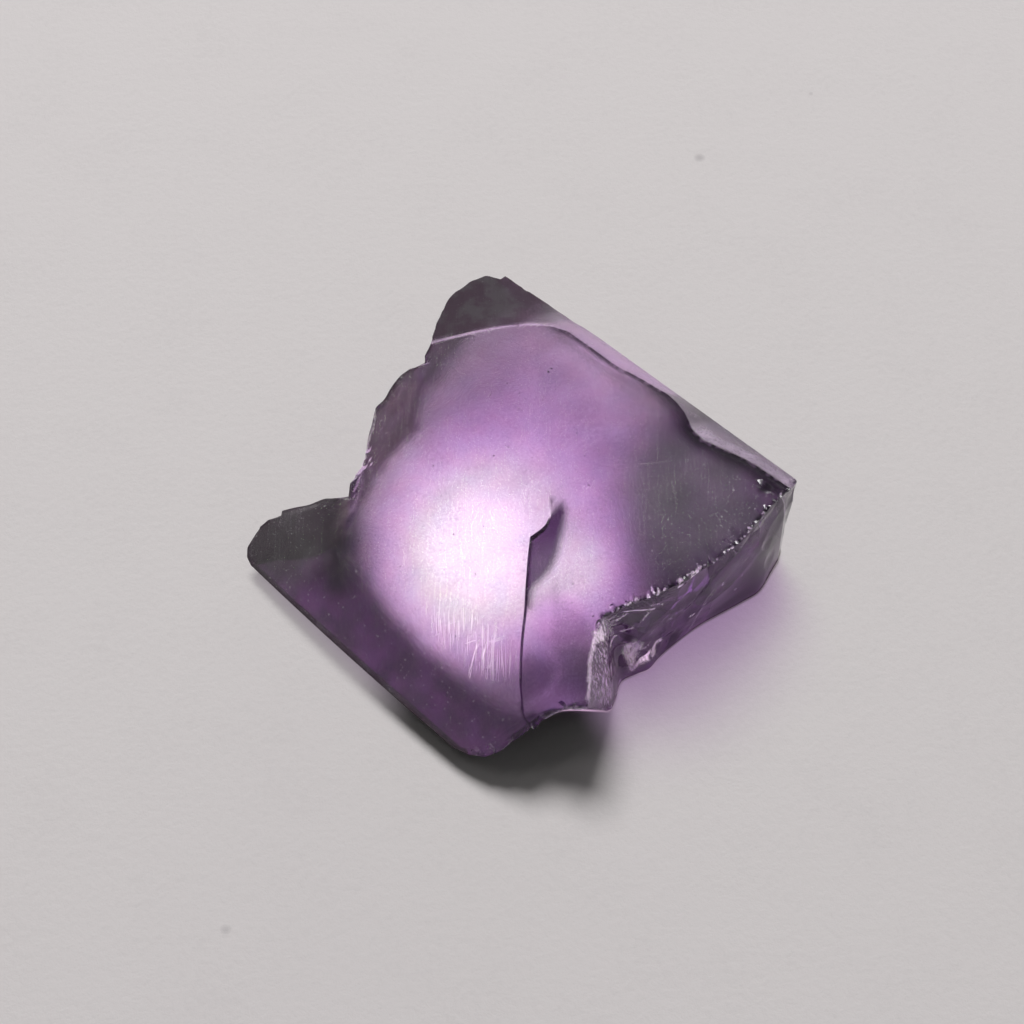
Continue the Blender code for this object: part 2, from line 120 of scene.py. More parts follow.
# Chips off the rims: where, how many to a millimetre, half length and depth from least to most.
chips = [
    ("farBreak", 9.0, (0.06, 0.22), (0.03, 0.13)),
    ("frosted", 4.0, (0.10, 0.25), (0.03, 0.09)),
    ("sheetEdge", 2.4, (0.08, 0.20), (0.01, 0.035)),
    ("nearTip", 1.3, (0.12, 0.30), (0.01, 0.035)),
    ("leftBreak", 1.6, (0.12, 0.40), (0.01, 0.03)),
    ("lobe", 1.6, (0.15, 0.50), (0.01, 0.05)),
    ("farSaw", 1.0, (0.15, 0.50), (0.01, 0.04)),
]
chipCut = {"lean": (0.35, 1.35), "sawnLean": (0.35, 0.7), "twist": 0.9, "halves": 2.2, "depths": 3.0}

# Small hollows strewn over the breaks, and ripples that follow the rim. Each pair after "across",
# "below", "rim" or "foot" is where the marks start and how far on they are at their full strength.
strewn = {"count": 230, "radius": (0.22, 1.0), "share": (0.05, 0.17), "topRows": 6, "lastRows": 4,
          "rim": (0.0, 0.5), "foot": (0.0, 0.7)}
ripple = {"deep": 0.022, "apart": 0.26, "sway": 0.12, "swayRate": 2.3,
          "across": ((-2.3, 0.5), (0.9, -0.8)), "below": ((0.15, 0.2), (1.7, -0.5))}

# Small pits in the skin: along, across, half length, half width, depth.
pits = [
    (7.55, 7.0, 0.42, 0.28, 0.18),
    (0.4, -5.1, 0.16, 0.12, 0.05),
    (-3.1, -6.9, 0.14, 0.12, 0.05),
]
pitReach = 1.2

# Columns of the sides, counter-clockwise from the right end of the near cut: rim (along, across),
# upper ledge (along, across, height), lower ledge (along, across, height), foot (along, across).
nearTip = [
    ((5.85, -9.25), (5.75, -9.0, 0.6), (5.6, -8.8, 0.3), (5.4, -8.5)),
    ((6.4, -9.0), (6.2, -8.7, 0.7), (6.0, -8.5, 0.3), (5.7, -8.2)),
    ((6.65, -8.85), (6.5, -8.5, 0.85), (6.2, -8.2, 0.4), (5.8, -7.9)),
    ((7.05, -8.35), (6.8, -7.9, 1.1), (6.5, -7.6, 0.5), (6.0, -7.4)),
    ((7.2, -7.95), (6.9, -7.5, 1.35), (6.6, -7.2, 0.6), (6.05, -7.0)),
    ((7.4, -7.5), (7.1, -7.05, 1.55), (6.75, -6.7, 0.65), (6.1, -6.5)),
    ((7.53, -7.08), (7.2, -6.6, 1.7), (6.85, -6.2, 0.7), (6.2, -6.0)),
    ((7.58, -6.92), (7.2, -6.4, 1.6), (6.85, -6.0, 0.7), (6.25, -5.8)),
]
sheetEdge = [
    ((7.65, -6.6), (7.25, -6.0, 1.65), (6.95, -5.6, 0.75), (6.35, -5.4)),
    ((7.85, -6.2), (7.4, -5.6, 1.7), (7.1, -5.1, 0.8), (6.5, -5.0)),
    ((8.05, -5.9), (7.6, -5.2, 1.75), (7.3, -4.7, 0.8), (6.8, -4.5)),
    ((8.2, -5.7), (7.8, -4.9, 1.8), (7.55, -4.4, 0.8), (7.15, -4.1)),
    ((8.55, -5.5), (8.1, -4.5, 1.9), (7.9, -4.0, 0.85), (7.6, -3.7)),
    ((8.9, -5.2), (8.6, -4.3, 2.0), (8.4, -3.7, 0.9), (8.1, -3.25)),
]
frostedFacet = [
    ((8.65, -4.9), (8.5, -4.0, 2.2), (8.4, -3.55, 1.05), (8.18, -3.20)),
    ((8.25, -4.4), (8.3, -3.7, 2.4), (8.34, -3.45, 1.15), (8.22, -3.15)),
    ((7.75, -3.85), (8.0, -3.3, 2.75), (8.25, -3.25, 1.3), (8.25, -3.09)),
    ((7.45, -3.4), (7.75, -2.9, 3.0), (8.12, -3.05, 1.45), (8.27, -3.02)),
    ((7.1, -2.9), (7.45, -2.45, 3.35), (8.0, -2.85, 1.65), (8.28, -2.95)),
]
farBreak = [
    ((6.9, -2.25), (7.2, -2.1, 3.6), (7.85, -2.65, 1.75), (8.27, -2.88)),
    ((7.2, -1.7), (6.9, -1.7, 3.9), (7.15, -1.95, 1.9), (8.05, -2.4)),
    ((7.45, -1.15), (7.0, -1.2, 4.0), (7.05, -1.4, 2.0), (7.65, -1.65)),
    ((7.8, -0.55), (7.4, -0.65, 3.9), (7.5, -0.8, 1.9), (7.85, -0.9)),
    ((7.95, 0.0), (7.65, -0.1, 3.7), (7.85, -0.2, 1.6), (8.05, -0.3)),
    ((8.35, 0.9), (7.85, 0.8, 3.2), (7.85, 0.7, 1.3), (7.95, 0.6)),
    ((8.5, 1.7), (8.0, 1.8, 2.2), (8.0, 1.9, 0.9), (8.0, 2.0)),
    ((8.75, 2.75), (8.15, 2.9, 2.7), (8.35, 3.0, 1.8), (8.1, 3.0)),
    ((8.8, 4.0), (8.2, 3.9, 3.1), (8.55, 4.0, 2.0), (8.35, 4.1)),
    ((8.7, 4.9), (8.2, 4.9, 3.45), (8.55, 4.95, 2.2), (8.6, 5.15)),
    ((8.5, 6.15), (8.2, 5.9, 3.75), (8.45, 6.0, 2.75), (8.75, 6.1)),
    ((8.4, 7.2), (8.15, 7.0, 4.3), (8.3, 7.05, 3.7), (8.45, 7.2)),
    ((8.35, 7.9), (8.15, 7.75, 4.8), (8.25, 7.85, 4.3), (8.25, 7.9)),
    ((7.95, 8.85), (7.97, 8.75, 3.5), (7.95, 8.5, 1.9), (7.95, 8.45)),
]
farCut = [
    ((-3.50, 8.25), (-3.5, 8.3, 3.5), (-3.5, 8.3, 1.8), (-3.5, 8.3)),
    ((-8.95, 7.80), (-8.85, 7.9, 3.6), (-8.7, 8.0, 1.8), (-8.5, 8.1)),
]
lobe = [
    ((-8.95, 7.5), (-8.85, 7.4, 3.5), (-8.75, 7.5, 1.7), (-8.6, 7.5)),
    ((-9.25, 7.35), (-9.0, 7.1, 3.5), (-8.8, 7.1, 1.7), (-8.65, 7.1)),
    ((-9.55, 7.1), (-9.2, 6.8, 3.3), (-8.9, 6.7, 1.6), (-8.7, 6.7)),
    ((-9.7, 6.6), (-9.3, 6.4, 3.2), (-8.95, 6.2, 1.6), (-8.75, 6.2)),
    ((-9.75, 5.75), (-9.3, 5.6, 3.1), (-9.0, 5.4, 1.5), (-8.7, 5.4)),
    ((-9.65, 4.95), (-9.2, 4.9, 3.2), (-8.9, 4.8, 1.5), (-8.6, 4.7)),
    ((-9.35, 4.25), (-9.0, 4.2, 3.4), (-8.7, 4.1, 1.6), (-8.45, 4.0)),
    ((-9.0, 3.55), (-8.7, 3.5, 3.6), (-8.5, 3.4, 1.8), (-8.3, 3.3)),
    ((-8.6, 2.9), (-8.5, 2.9, 3.7), (-8.3, 2.8, 1.9), (-8.2, 2.8)),
    ((-8.35, 2.5), (-8.3, 2.5, 3.8), (-8.2, 2.5, 1.9), (-8.1, 2.5)),
]
leftBreak = [
    ((-8.2, 2.3), (-8.2, 2.1, 4.2), (-8.1, 2.1, 2), (-8, 2.1)),
    ((-7.9, 1.65), (-8.02, 1.6, 4.1), (-7.85, 1.6, 2), (-7.52, 1.6)),
    ((-7.75, 1.05), (-7.83, 1.1, 4), (-7.5, 1.1, 2), (-7.03, 1.1)),
    ((-7.95, 0.8), (-7.9, 0.8, 3.9), (-7.35, 0.8, 2), (-6.75, 0.8)),
    ((-8, 0.3), (-8, 0.2, 3.7), (-7.45, 0.2, 1.9), (-6.8, 0.2)),
    ((-7.9, -0.35), (-7.95, -0.4, 3.6), (-7.45, -0.4, 1.9), (-6.8, -0.4)),
    ((-7.7, -1), (-7.75, -1, 3.5), (-7.35, -1, 1.8), (-6.75, -1)),
    ((-7.7, -1.55), (-7.7, -1.5, 3.4), (-7.25, -1.5, 1.7), (-6.65, -1.5)),
    ((-7.3, -2.15), (-7.4, -2, 3.4), (-7.05, -2, 1.7), (-6.55, -2)),
    ((-6.9, -2.8), (-7.05, -2.6, 3.3), (-6.75, -2.6, 1.7), (-6.25, -2.6)),
    ((-6.45, -3.5), (-6.65, -3.3, 3.2), (-6.35, -3.3, 1.6), (-5.95, -3.3)),
    ((-6.25, -4.2), (-6.4, -4, 3), (-6.05, -4, 1.5), (-5.65, -4)),
    ((-6.15, -4.7), (-6.3, -4.5, 2.8), (-5.95, -4.5, 1.4), (-5.55, -4.5)),
    ((-6.2, -5.35), (-6.3, -5.1, 2.6), (-5.95, -5.1, 1.3), (-5.55, -5)),
    ((-6.75, -5.65), (-6.55, -5.5, 2.4), (-6.05, -5.5, 1.2), (-5.65, -5.5)),
    ((-7.25, -6.15), (-6.9, -6.1, 2.1), (-6.3, -6.1, 1), (-5.8, -6.1)),
    ((-7.75, -6.6), (-7.35, -6.6, 1.8), (-6.65, -6.6, 0.9), (-6.15, -6.6)),
    ((-8.2, -7.15), (-7.8, -7.2, 1.5), (-7.2, -7.2, 0.7), (-6.73, -7.2)),
    ((-8.5, -7.8), (-8.15, -7.75, 1.1), (-7.65, -7.75, 0.5), (-7.21, -7.7)),
    ((-8.7, -8.35), (-8.35, -8.25, 0.8), (-7.95, -8.2, 0.4), (-7.54, -8.15)),
    ((-8.6, -8.75), (-8.3, -8.6, 0.6), (-8, -8.5, 0.3), (-7.72, -8.4)),
    ((-8.3, -9.1), (-8.15, -8.9, 0.42), (-7.95, -8.75, 0.2), (-7.8, -8.55)),
]


def smooth(x):
    x = np.clip(x, 0.0, 1.0)
    return x * x * (3.0 - 2.0 * x)


# 0 at the start and 1 a distance "soft" further on, towards lower numbers where soft is negative.
def rise(x, start, soft):
    return smooth((x - start) / soft)


# 1 on a line and near it, and 0 from "edge" half widths away.
def closeTo(gap, half, edge=1.5):
    return smooth(edge - np.abs(gap) / half)


# Signed distance to a line (left is positive), share of its length, and nearest point.
def beside(line, a, c):
    line = np.array(line, float)
    a, c = np.atleast_1d(a).astype(float), np.atleast_1d(c).astype(float)
    sizes = np.hypot(*np.diff(line, axis=0).T)
    side, share = np.full(a.shape, 1e9), np.zeros(a.shape)
    nearA, nearC = np.zeros(a.shape), np.zeros(a.shape)
    run = 0.0
    for start, end, size in zip(line, line[1:], sizes):
        d = end - start
        t = np.clip(((a - start[0]) * d[0] + (c - start[1]) * d[1]) / size ** 2, 0.0, 1.0)
        pa, pc = start[0] + t * d[0], start[1] + t * d[1]
        gap = np.hypot(a - pa, c - pc)
        spin = d[0] * (c - start[1]) - d[1] * (a - start[0])
        closer = gap < np.abs(side) - 1e-9
        side = np.where(closer, np.copysign(gap, spin), side)
        share = np.where(closer, (run + t * size) / sizes.sum(), share)
        nearA, nearC = np.where(closer, pa, nearA), np.where(closer, pc, nearC)
        run += size
    return side, share, nearA, nearC


def skinHeight(a, c):
    fall = stone["skinRadius"] - np.sqrt(stone["skinRadius"] ** 2 - (c - stone["crestAcross"]) ** 2)
    return stone["crestHeight"] - fall - (a - stone["crestAlong"]) ** 2 / (2.0 * stone["endRadius"])


def scarDepth(a, c):
    side, _, _, _ = beside(stepLine, a, c)
    start, end = np.array(stepLine[0]), np.array(stepLine[-1])
    way = (end - start) / np.hypot(*(end - start))
    ahead = (a - start[0]) * way[0] + (c - start[1]) * way[1]
    fade = np.clip(1.0 - side / scar["reach"], 0.0, 1.0) ** scar["fade"]
    depth = scar["drop"] * smooth(ahead / scar["opens"]) * smooth(side / scar["width"]) * fade
    return np.where(side > 0.0, depth, 0.0)


def pitDepth(a, c):
    depth = np.zeros(np.shape(a))
    for pitA, pitC, halfLong, halfWide, deep in pits:
        r = np.hypot((a - pitA) / halfLong, (c - pitC) / halfWide)
        depth = depth + deep * (1.0 - smooth(r / pitReach))
    return depth


def wornDepth(a, c):
    side, share, _, _ = beside(wornEdge, a, c)
    return worn["fall"] * (1.0 - smooth(np.abs(side) / worn["width"])) * np.sin(np.pi * share)


def farEdgeAt(a):
    alongs, acrosses, heights = np.array(farEdge).T
    return np.interp(a, alongs, acrosses), np.interp(a, alongs, heights)


def topHeight(a, c):
    a, c = np.atleast_1d(a).astype(float), np.atleast_1d(c).astype(float)
    side, share, nearA, nearC = beside(crestLine, a, c)
    rounding = smooth((share - bevel["share"]) * crestDip["opens"])
    dip = crestDip["depth"] * smooth(1.0 + side / crestDip["reach"]) * rounding
    skin = skinHeight(a, c) - dip - scarDepth(a, c) - pitDepth(a, c) - wornDepth(a, c)
    across, height = farEdgeAt(a)
    t = side / (side + np.maximum(across - c, 0.0) + 1e-6)
    crest = skinHeight(nearA, nearC) - crestDip["depth"] * rounding
    bump = np.sin(np.pi * np.minimum(share / bevel["share"], 1.0))
    slope = bevel["drop"] * bump * smooth(side / (bevel["toe"] + bevel["width"] * bump))
    return np.where(side <= 0.0, skin, crest + t * (height - crest) - slope * (1.0 - t))


# The cut leans in under the skin: the loop settles how high its rim is.
def nearCutColumn(a):
    foot, lean = nearCut["footAcross"], math.tan(nearCut["lean"])
    height = float(skinHeight(a, foot))
    for _ in range(30):
        height = (height + float(skinHeight(a, foot - height * lean))) / 2.0
    rows = [(a, foot - t * (height * lean), t * height) for t in (1.0, 0.67, 0.33, 0.0)]
    return (rows[0][:2], rows[1], rows[2], rows[3][:2])


# A smooth curve through rows of numbers, with points about one spacing apart.
def curveThrough(rows, spacing, rounded=True):
    rows = np.array(rows, float)
    out = []
    for i in range(len(rows) - 1):
        p1, p2 = rows[i], rows[i + 1]
        p0 = rows[i - 1] if i else p1
        p3 = rows[i + 2] if i + 2 < len(rows) else p2
        count = max(1, round(math.hypot(*(p2 - p1)[:2]) / spacing))
        for k in range(count):
            t = k / count
            if rounded:
                m1, m2 = (p2 - p0) / 2.0, (p3 - p1) / 2.0
                h = t * t * (3.0 - 2.0 * t)
                out.append(p1 + h * (p2 - p1) + (t ** 3 - 2 * t * t + t) * m1 + (t ** 3 - t * t) * m2)
            else:
                out.append(p1 + t * (p2 - p1))
    return out


def sideColumns():
    flat = lambda column: [x for row in column for x in row]
    span, steps = nearCut["right"] - nearCut["left"], nearCut["steps"]
    near = [nearCutColumn(nearCut["left"] + t * span / steps) for t in range(steps + 1)]
    groups = [
        ("nearSaw", near, False), ("nearTip", nearTip, True), ("sheetEdge", sheetEdge, True),
        ("frosted", frostedFacet, False), ("farBreak", farBreak[:-1], True),
        ("farCorner", farBreak[-1:], False), ("farSaw", farCut, False),
        ("lobe", lobe, True), ("leftBreak", leftBreak, True),
    ]
    columns, kinds = [], []
    for g, (kind, group, rounded) in enumerate(groups):
        after = groups[(g + 1) % len(groups)][1][0]
        spacing = stone["edgeSpacing"][kind]
        dense = curveThrough([flat(column) for column in group], spacing, rounded)
        dense += curveThrough([flat(group[-1]), flat(after)], spacing, False)
        columns += dense
        kinds += [kind] * len(dense)
    return np.array(columns), np.array(kinds)


# Rows of points from the rim down to the foot, as (row, column, xyz).
def sideGrid(columns, kinds):
    rim, upper, lower, foot = columns[:, :2], columns[:, 2:5], columns[:, 5:8], columns[:, 8:]
    heights = topHeight(rim[:, 0], rim[:, 1])
    sawn = np.isin(kinds, ["farCorner", "farSaw"])
    heights = np.where(sawn, farEdgeAt(rim[:, 0])[1], heights)
    levels = np.stack([
        np.column_stack([rim, heights]), upper, lower, np.column_stack([foot, np.zeros(len(foot))]),
    ])
    gaps, fineRows = len(levels) - 1, stone["fineRows"]
    fine = np.linspace(0.0, stone["fineShare"], fineRows + 1)[:-1]
    rest = np.linspace(stone["fineShare"], gaps, stone["wallRows"] - fineRows)
    rows = []
    for t in np.concatenate([fine, rest]):
        k = min(int(t), gaps - 1)
        rows.append(levels[k] + (t - k) * (levels[k + 1] - levels[k]))
    return np.array(rows)


def outwardAt(rim):
    ahead = np.roll(rim, -3, axis=0) - np.roll(rim, 3, axis=0)
    ahead /= np.hypot(*ahead.T)[:, None]
    return np.column_stack([ahead[:, 1], -ahead[:, 0]])


def hollowSides(grid, kinds, rng):
    out = outwardAt(grid[0, :, :2])
    push = np.zeros(grid.shape[:2])
    broken = np.flatnonzero(np.isin(kinds, ["farBreak", "nearTip", "sheetEdge", "lobe", "leftBreak"]))
    more = []
    for _ in range(strewn["count"]):
        row = rng.integers(strewn["topRows"], len(grid) - strewn["lastRows"])
        centre = grid[row, rng.choice(broken)]
        radius = rng.uniform(*strewn["radius"])
        more.append((centre, radius, radius * rng.uniform(*strewn["share"])))
    for centre, radius, deep in hollows + more:
        r = np.linalg.norm(grid - np.array(centre), axis=2) / radius
        push = np.maximum(push, deep * (1.0 - r * r))
    across, height = grid[:, :, 1], grid[:, :, 2]
    below = grid[:1, :, 2] - height
    place = kinds == "farBreak"
    for values, ends in ((across, ripple["across"]), (below, ripple["below"])):
        for start, soft in ends:
            place = place * rise(values, start, soft)
    sway = ripple["sway"] * np.sin(ripple["swayRate"] * across)
    wave = np.sin(2.0 * np.pi * (below + sway) / ripple["apart"])
    push = push * rise(height, *strewn["foot"]) * rise(below, *strewn["rim"])
    push = push + ripple["deep"] * wave * place
    grid[:, :, :2] -= push[:, :, None] * out[None]
    return grid


# Each chip is a shallow scoop, cut square to a line that leans between the side and the top.
def chipRims(points, rim, kinds, rng):
    out = outwardAt(rim[:, :2])
    steps = np.hypot(*(np.roll(rim, -1, axis=0) - rim)[:, :2].T)
    for kind, often, halves, depths in chips:
        spots = np.flatnonzero(kinds == kind)
        for _ in range(round(often * steps[spots].sum())):
            i = rng.choice(spots)
            lean = rng.uniform(*chipCut["sawnLean" if kind == "farSaw" else "lean"])
            half, deep = rng.uniform(*halves), depths[0] + (depths[1] - depths[0]) * rng.random() ** 2
            along = np.array([-out[i, 1], out[i, 0], 0.0])
            way = np.array([*(math.cos(lean) * out[i]), math.sin(lean)])
            way += along * rng.normal(0.0, chipCut["twist"]) * deep / half
            way /= np.linalg.norm(way)
            off = points - rim[i]
            reach = chipCut["halves"] * half + chipCut["depths"] * deep
            near = np.flatnonzero((off ** 2).sum(1) < reach ** 2)
            run = off[near] @ along / half
            over = off[near] @ way + deep * (1.0 - run * run)
            points[near] -= np.maximum(over, 0.0)[:, None] * way
    return points


def insideLoop(loop, a, c):
    hit = np.zeros(a.shape, bool)
    for (a0, c0), (a1, c1) in zip(loop, np.roll(loop, -1, axis=0)):
        if c0 != c1:
            crosses = ((c0 > c) != (c1 > c)) & (a < a0 + (c - c0) * (a1 - a0) / (c1 - c0))
            hit ^= crosses
    return hit


# Points of a slightly shaken grid of triangles inside a loop.
def hexGrid(loop, spacing, rng):
    low, high = loop.min(0), loop.max(0)
    rows = np.arange(low[1], high[1], spacing * meshing["rowHeight"])
    cols = np.arange(low[0], high[0], spacing)
    a = cols[None, :] + (np.arange(len(rows)) % 2)[:, None] * spacing / 2.0
    c = np.repeat(rows[:, None], len(cols), axis=1)
    shake = meshing["jitter"]
    a = a.ravel() + rng.uniform(-shake, shake, a.size) * spacing
    c = c.ravel() + rng.uniform(-shake, shake, c.size) * spacing
    keep = insideLoop(loop, a, c)
    return a[keep], c[keep]


# Fills a loop with triangles. The lines stay edges, and the grids' points keep clear of them.
def fill(loop, lines, grids):
    points = [tuple(p) for p in loop]
    edges = [(i, (i + 1) % len(loop)) for i in range(len(loop))]
    for line in lines:
        keys = []
        for point in line:
            gaps = np.hypot(*(np.array(points) - np.array(point)).T)
            close = int(gaps.argmin())
            if gaps[close] > meshing["weld"]:
                points.append(tuple(point))
                close = len(points) - 1
            if not keys or keys[-1] != close:
                keys.append(close)
        edges += list(zip(keys, keys[1:]))
    for (a, c), spacing in grids:
        fixed = np.array(points)
        clear = np.ones(a.shape, bool)
        for k in range(0, len(a), meshing["block"]):
            part = slice(k, k + meshing["block"])
            gaps = np.hypot(a[part, None] - fixed[None, :, 0], c[part, None] - fixed[None, :, 1])
            clear[part] = gaps.min(1) > meshing["clear"] * spacing
        points += list(zip(a[clear], c[clear]))
    flat = [Vector(p) for p in points]
    corners, _, faces, _, _, _ = delaunay_2d_cdt(flat, edges, [], 1, 1e-7)
    return np.array([tuple(p) for p in corners]), [tuple(f) for f in faces]


# The whole of a line of points, read about one spacing apart.
def dotted(line, spacing):
    return np.array(curveThrough(line, spacing, False) + [np.array(line[-1])])


def stepFoot(spacing):
    line = dotted(stepLine, spacing)
    ahead = np.gradient(line, axis=0)
    ahead /= np.hypot(*ahead.T)[:, None]
    foot = line + scar["width"] * np.column_stack([-ahead[:, 1], ahead[:, 0]])
    foot[0], foot[-1] = line[0], scar["footEnd"]
    return line, foot


def bevelFoot(spacing):
    line = dotted(crestLine[:bevel["points"]], spacing)
    share = beside(crestLine, line[:, 0], line[:, 1])[1]
    width = bevel["width"] * np.sin(np.pi * np.minimum(share / bevel["share"], 1.0))
    return line + width[:, None] * np.array(bevel["way"])


def skinMesh(grid, kinds, rng):
    rim, spacing = grid[0, :, :2], stone["rimSpacing"]
    lines = [dotted(crestLine, spacing), bevelFoot(spacing), *stepFoot(spacing)]
    a, c = hexGrid(rim, stone["crumbledSpacing"], rng)
    crumbled = rim[kinds == "farBreak"]
    band = [np.hypot(*(crumbled - p).T).min() < stone["crumbledBand"] for p in zip(a, c)]
    fine = (a[band], c[band]), stone["crumbledSpacing"]
    coarse = hexGrid(rim, stone["gridSpacing"], rng), stone["gridSpacing"]
    corners, faces = fill(rim, lines, [fine, coarse])
    heights = topHeight(corners[:, 0], corners[:, 1])
    heights[:len(rim)] = grid[0, :, 2]
    print("skin", len(corners), len(faces))
    return np.column_stack([corners, heights]), faces


def buildStone():
    rng = np.random.default_rng(stone["seed"])
    columns, kinds = sideColumns()
    grid = hollowSides(sideGrid(columns, kinds), kinds, rng)
    print("sides", grid.shape)
    skin, tris = skinMesh(grid, kinds, rng)
    parts = ["skin"] * len(tris)

    rows, wide = grid.shape[:2]
    start = len(skin)
    indexOf = lambda row, i: i % wide if row == 0 else start + (row - 1) * wide + i % wide
    for row in range(rows - 1):
        for i in range(wide):
            p, q = indexOf(row, i + 1), indexOf(row, i)
            r, s = indexOf(row + 1, i), indexOf(row + 1, i + 1)
            tris += [(p, q, r), (p, r, s)]
            parts += [partOf.get(kinds[i], "fresh")] * 2

    foot = grid[-1, :, :2]
    inner = hexGrid(foot, stone["baseSpacing"], rng)
    under, faces = fill(foot, [], [(inner, stone["baseSpacing"])])
    baseStart = start + (rows - 2) * wide
    tris += [tuple(baseStart + i for i in reversed(face)) for face in faces]
    parts += ["under"] * len(faces)
    base = np.column_stack([under[wide:], np.zeros(len(under) - wide)])
    verts = np.concatenate([skin, grid[1:].reshape(-1, 3), base])
    return chipRims(verts, grid[0].copy(), kinds, rng), np.array(tris), np.array(parts)


# The underside is clear inside this outline; around it a dark coat of painted shade covers it.
window = {
    "edge": [
        (-8.6, 7.9), (-8.4, 5.0), (-7.7, 3.0), (-7.6, 0.0), (-7.0, -2.2), (-6.1, -4.2), (-5.0, -5.2),
        (-2.5, -5.7), (0.55, -6.15), (3.3, -6.1), (4.6, -6.0), (5.9, -5.6), (7.3, -4.7), (8.3, -3.3),
        (7.9, 0.5), (5.7, 2.6), (3.4, 4.05), (1.4, 5.6), (0.4, 8.0),
    ],
    "soft": 1.1, "farSoft": 2.6, "farRise": (3.0, 4.0), "ragged": (0.10, 1.7, 3),
}

# Pools of light on the paper under the stone: strength, centre, reach, turn, flatness of the top.
pools = [
    (10.1, (-0.30, -0.80), (4.15, 4.6), 0.87, 1.48),
    (4.6, (-0.6, -1.3), (2.9, 3.3), 0.87, 1.2),
    (1.9, (7.2, -4.2), (1.5, 1.2), 0.6, 1.0),
    (2.0, (-2.8, 5.8), (5.3, 6.6), 0.0, 1.0),
    (6.4, (3.7, 1.1), (2.1, 1.3), -0.62, 1.0),
    (7.0, (7.0, 0.1), (0.75, 0.5), -0.6, 1.0),
]

# Light let in through the sides and the underside. The brightest pools are the palest.
light = {
    "walls": 1.0, "nearWalls": 0.0, "nearAcross": (-2.0, -2.3),
    "tipWalls": 0.6, "tipAcross": (-5.0, -1.5), "tipAlong": (2.5, -4.0),
    "rest": 0.28, "uneven": (0.06, 2.2, 5),
    "paleFrom": 2.4, "paleSpan": 7.0, "tint": ((1.0, 0.40), (1.0, 0.0), (0.89, 0.42)),
}

# Painted shade in the skin, mostly in the scar: outline, softness, darkness.
shadeOutlines = [
    ([(1.93, -0.41), (2.12, -0.42), (2.06, -0.12), (2.13, 0.17), (2.48, 0.0), (2.84, -0.49),
      (3.18, -1.01), (3.47, -1.43), (3.69, -1.95), (3.73, -2.29), (3.72, -2.7), (3.66, -2.99),
      (3.75, -3.33), (4.1, -3.75), (3.87, -4.2), (2.79, -3.5), (2.1, -2.9), (1.5, -1.94), (1.4, -1.0),
      (1.3, -0.3), (1.7, 0.0)], 0.62, 1.0),
    ([(5.0, -5.5), (5.39, -5.03), (6.12, -4.88), (6.64, -4.75), (6.94, -5.05), (7.07, -5.54),
      (6.96, -6.01), (6.68, -6.45), (6.47, -6.95), (5.54, -6.6), (4.6, -5.7)], 0.9, 0.46),
    ([(6.2, -4.31), (6.69, -3.68), (7.47, -3.47), (8.7, -4.72), (8.9, -5.4), (7.75, -6.5), (7.41, -7.0),
      (6.88, -7.0), (6.76, -6.4), (7.18, -5.65), (7.08, -4.96)], 0.7, 0.34),
    ([(7.38, 6.74), (7.35, 7.24), (7.52, 7.58), (8.29, 7.83), (8.32, 7.4), (8.1, 7.3), (7.89, 6.89),
      (7.65, 6.63)], 0.3, 0.7),
    ([(4.24, -2.33), (5.04, -2.78), (6.01, -2.69), (6.72, -2.83), (6.97, -3.38), (6.4, -4.27),
      (5.84, -4.18), (5.17, -3.44), (4.51, -2.9)], 0.5, 0.18),
]

# Painted glints: white marks on the right break, drawn by across and height: outline, softness and strength
# of an area, or points, half width and strength of a line.
glintAreas = [
    ([(-0.08, 1.05), (-0.2, 0.43), (-0.68, 0.49), (-0.6, 0.71), (-0.39, 0.86),
      (-0.23, 1.07)], 0.12, 0.8),
    ([(-0.75, 2.16), (-0.42, 1.7), (-0.59, 1.09), (-0.91, 0.45), (-1.2, 0.29),
      (-1.04, 1.23)], 0.22, 0.34),
    ([(-0.59, 0.62), (-0.71, 0.42), (-1.14, 0.23), (-1.02, 0.45), (-0.83, 0.62)], 0.14, 0.42),
    ([(-0.05, 0.77), (0.25, 1.01), (0.47, 1.05), (0.39, 0.72), (0.21, 0.37), (-0.03, 0.43)], 0.14, 0.36),
    ([(0.33, 1.06), (0.67, 1.07), (0.87, 0.82), (0.6, 0.72), (0.37, 0.89)], 0.1, 0.45),
    ([(-2.27, 4.96), (-2.09, 4.82), (-1.44, 3.09), (-1.32, 2.35), (-2.1, 3.23),
      (-2.37, 4.17)], 0.15, 0.22),
    ([(-2.39, 4.61), (-2.33, 4.13), (-2.45, 3.81), (-2.85, 4.19), (-3.22, 4.47),
      (-2.91, 4.78)], 0.12, 0.85),
]
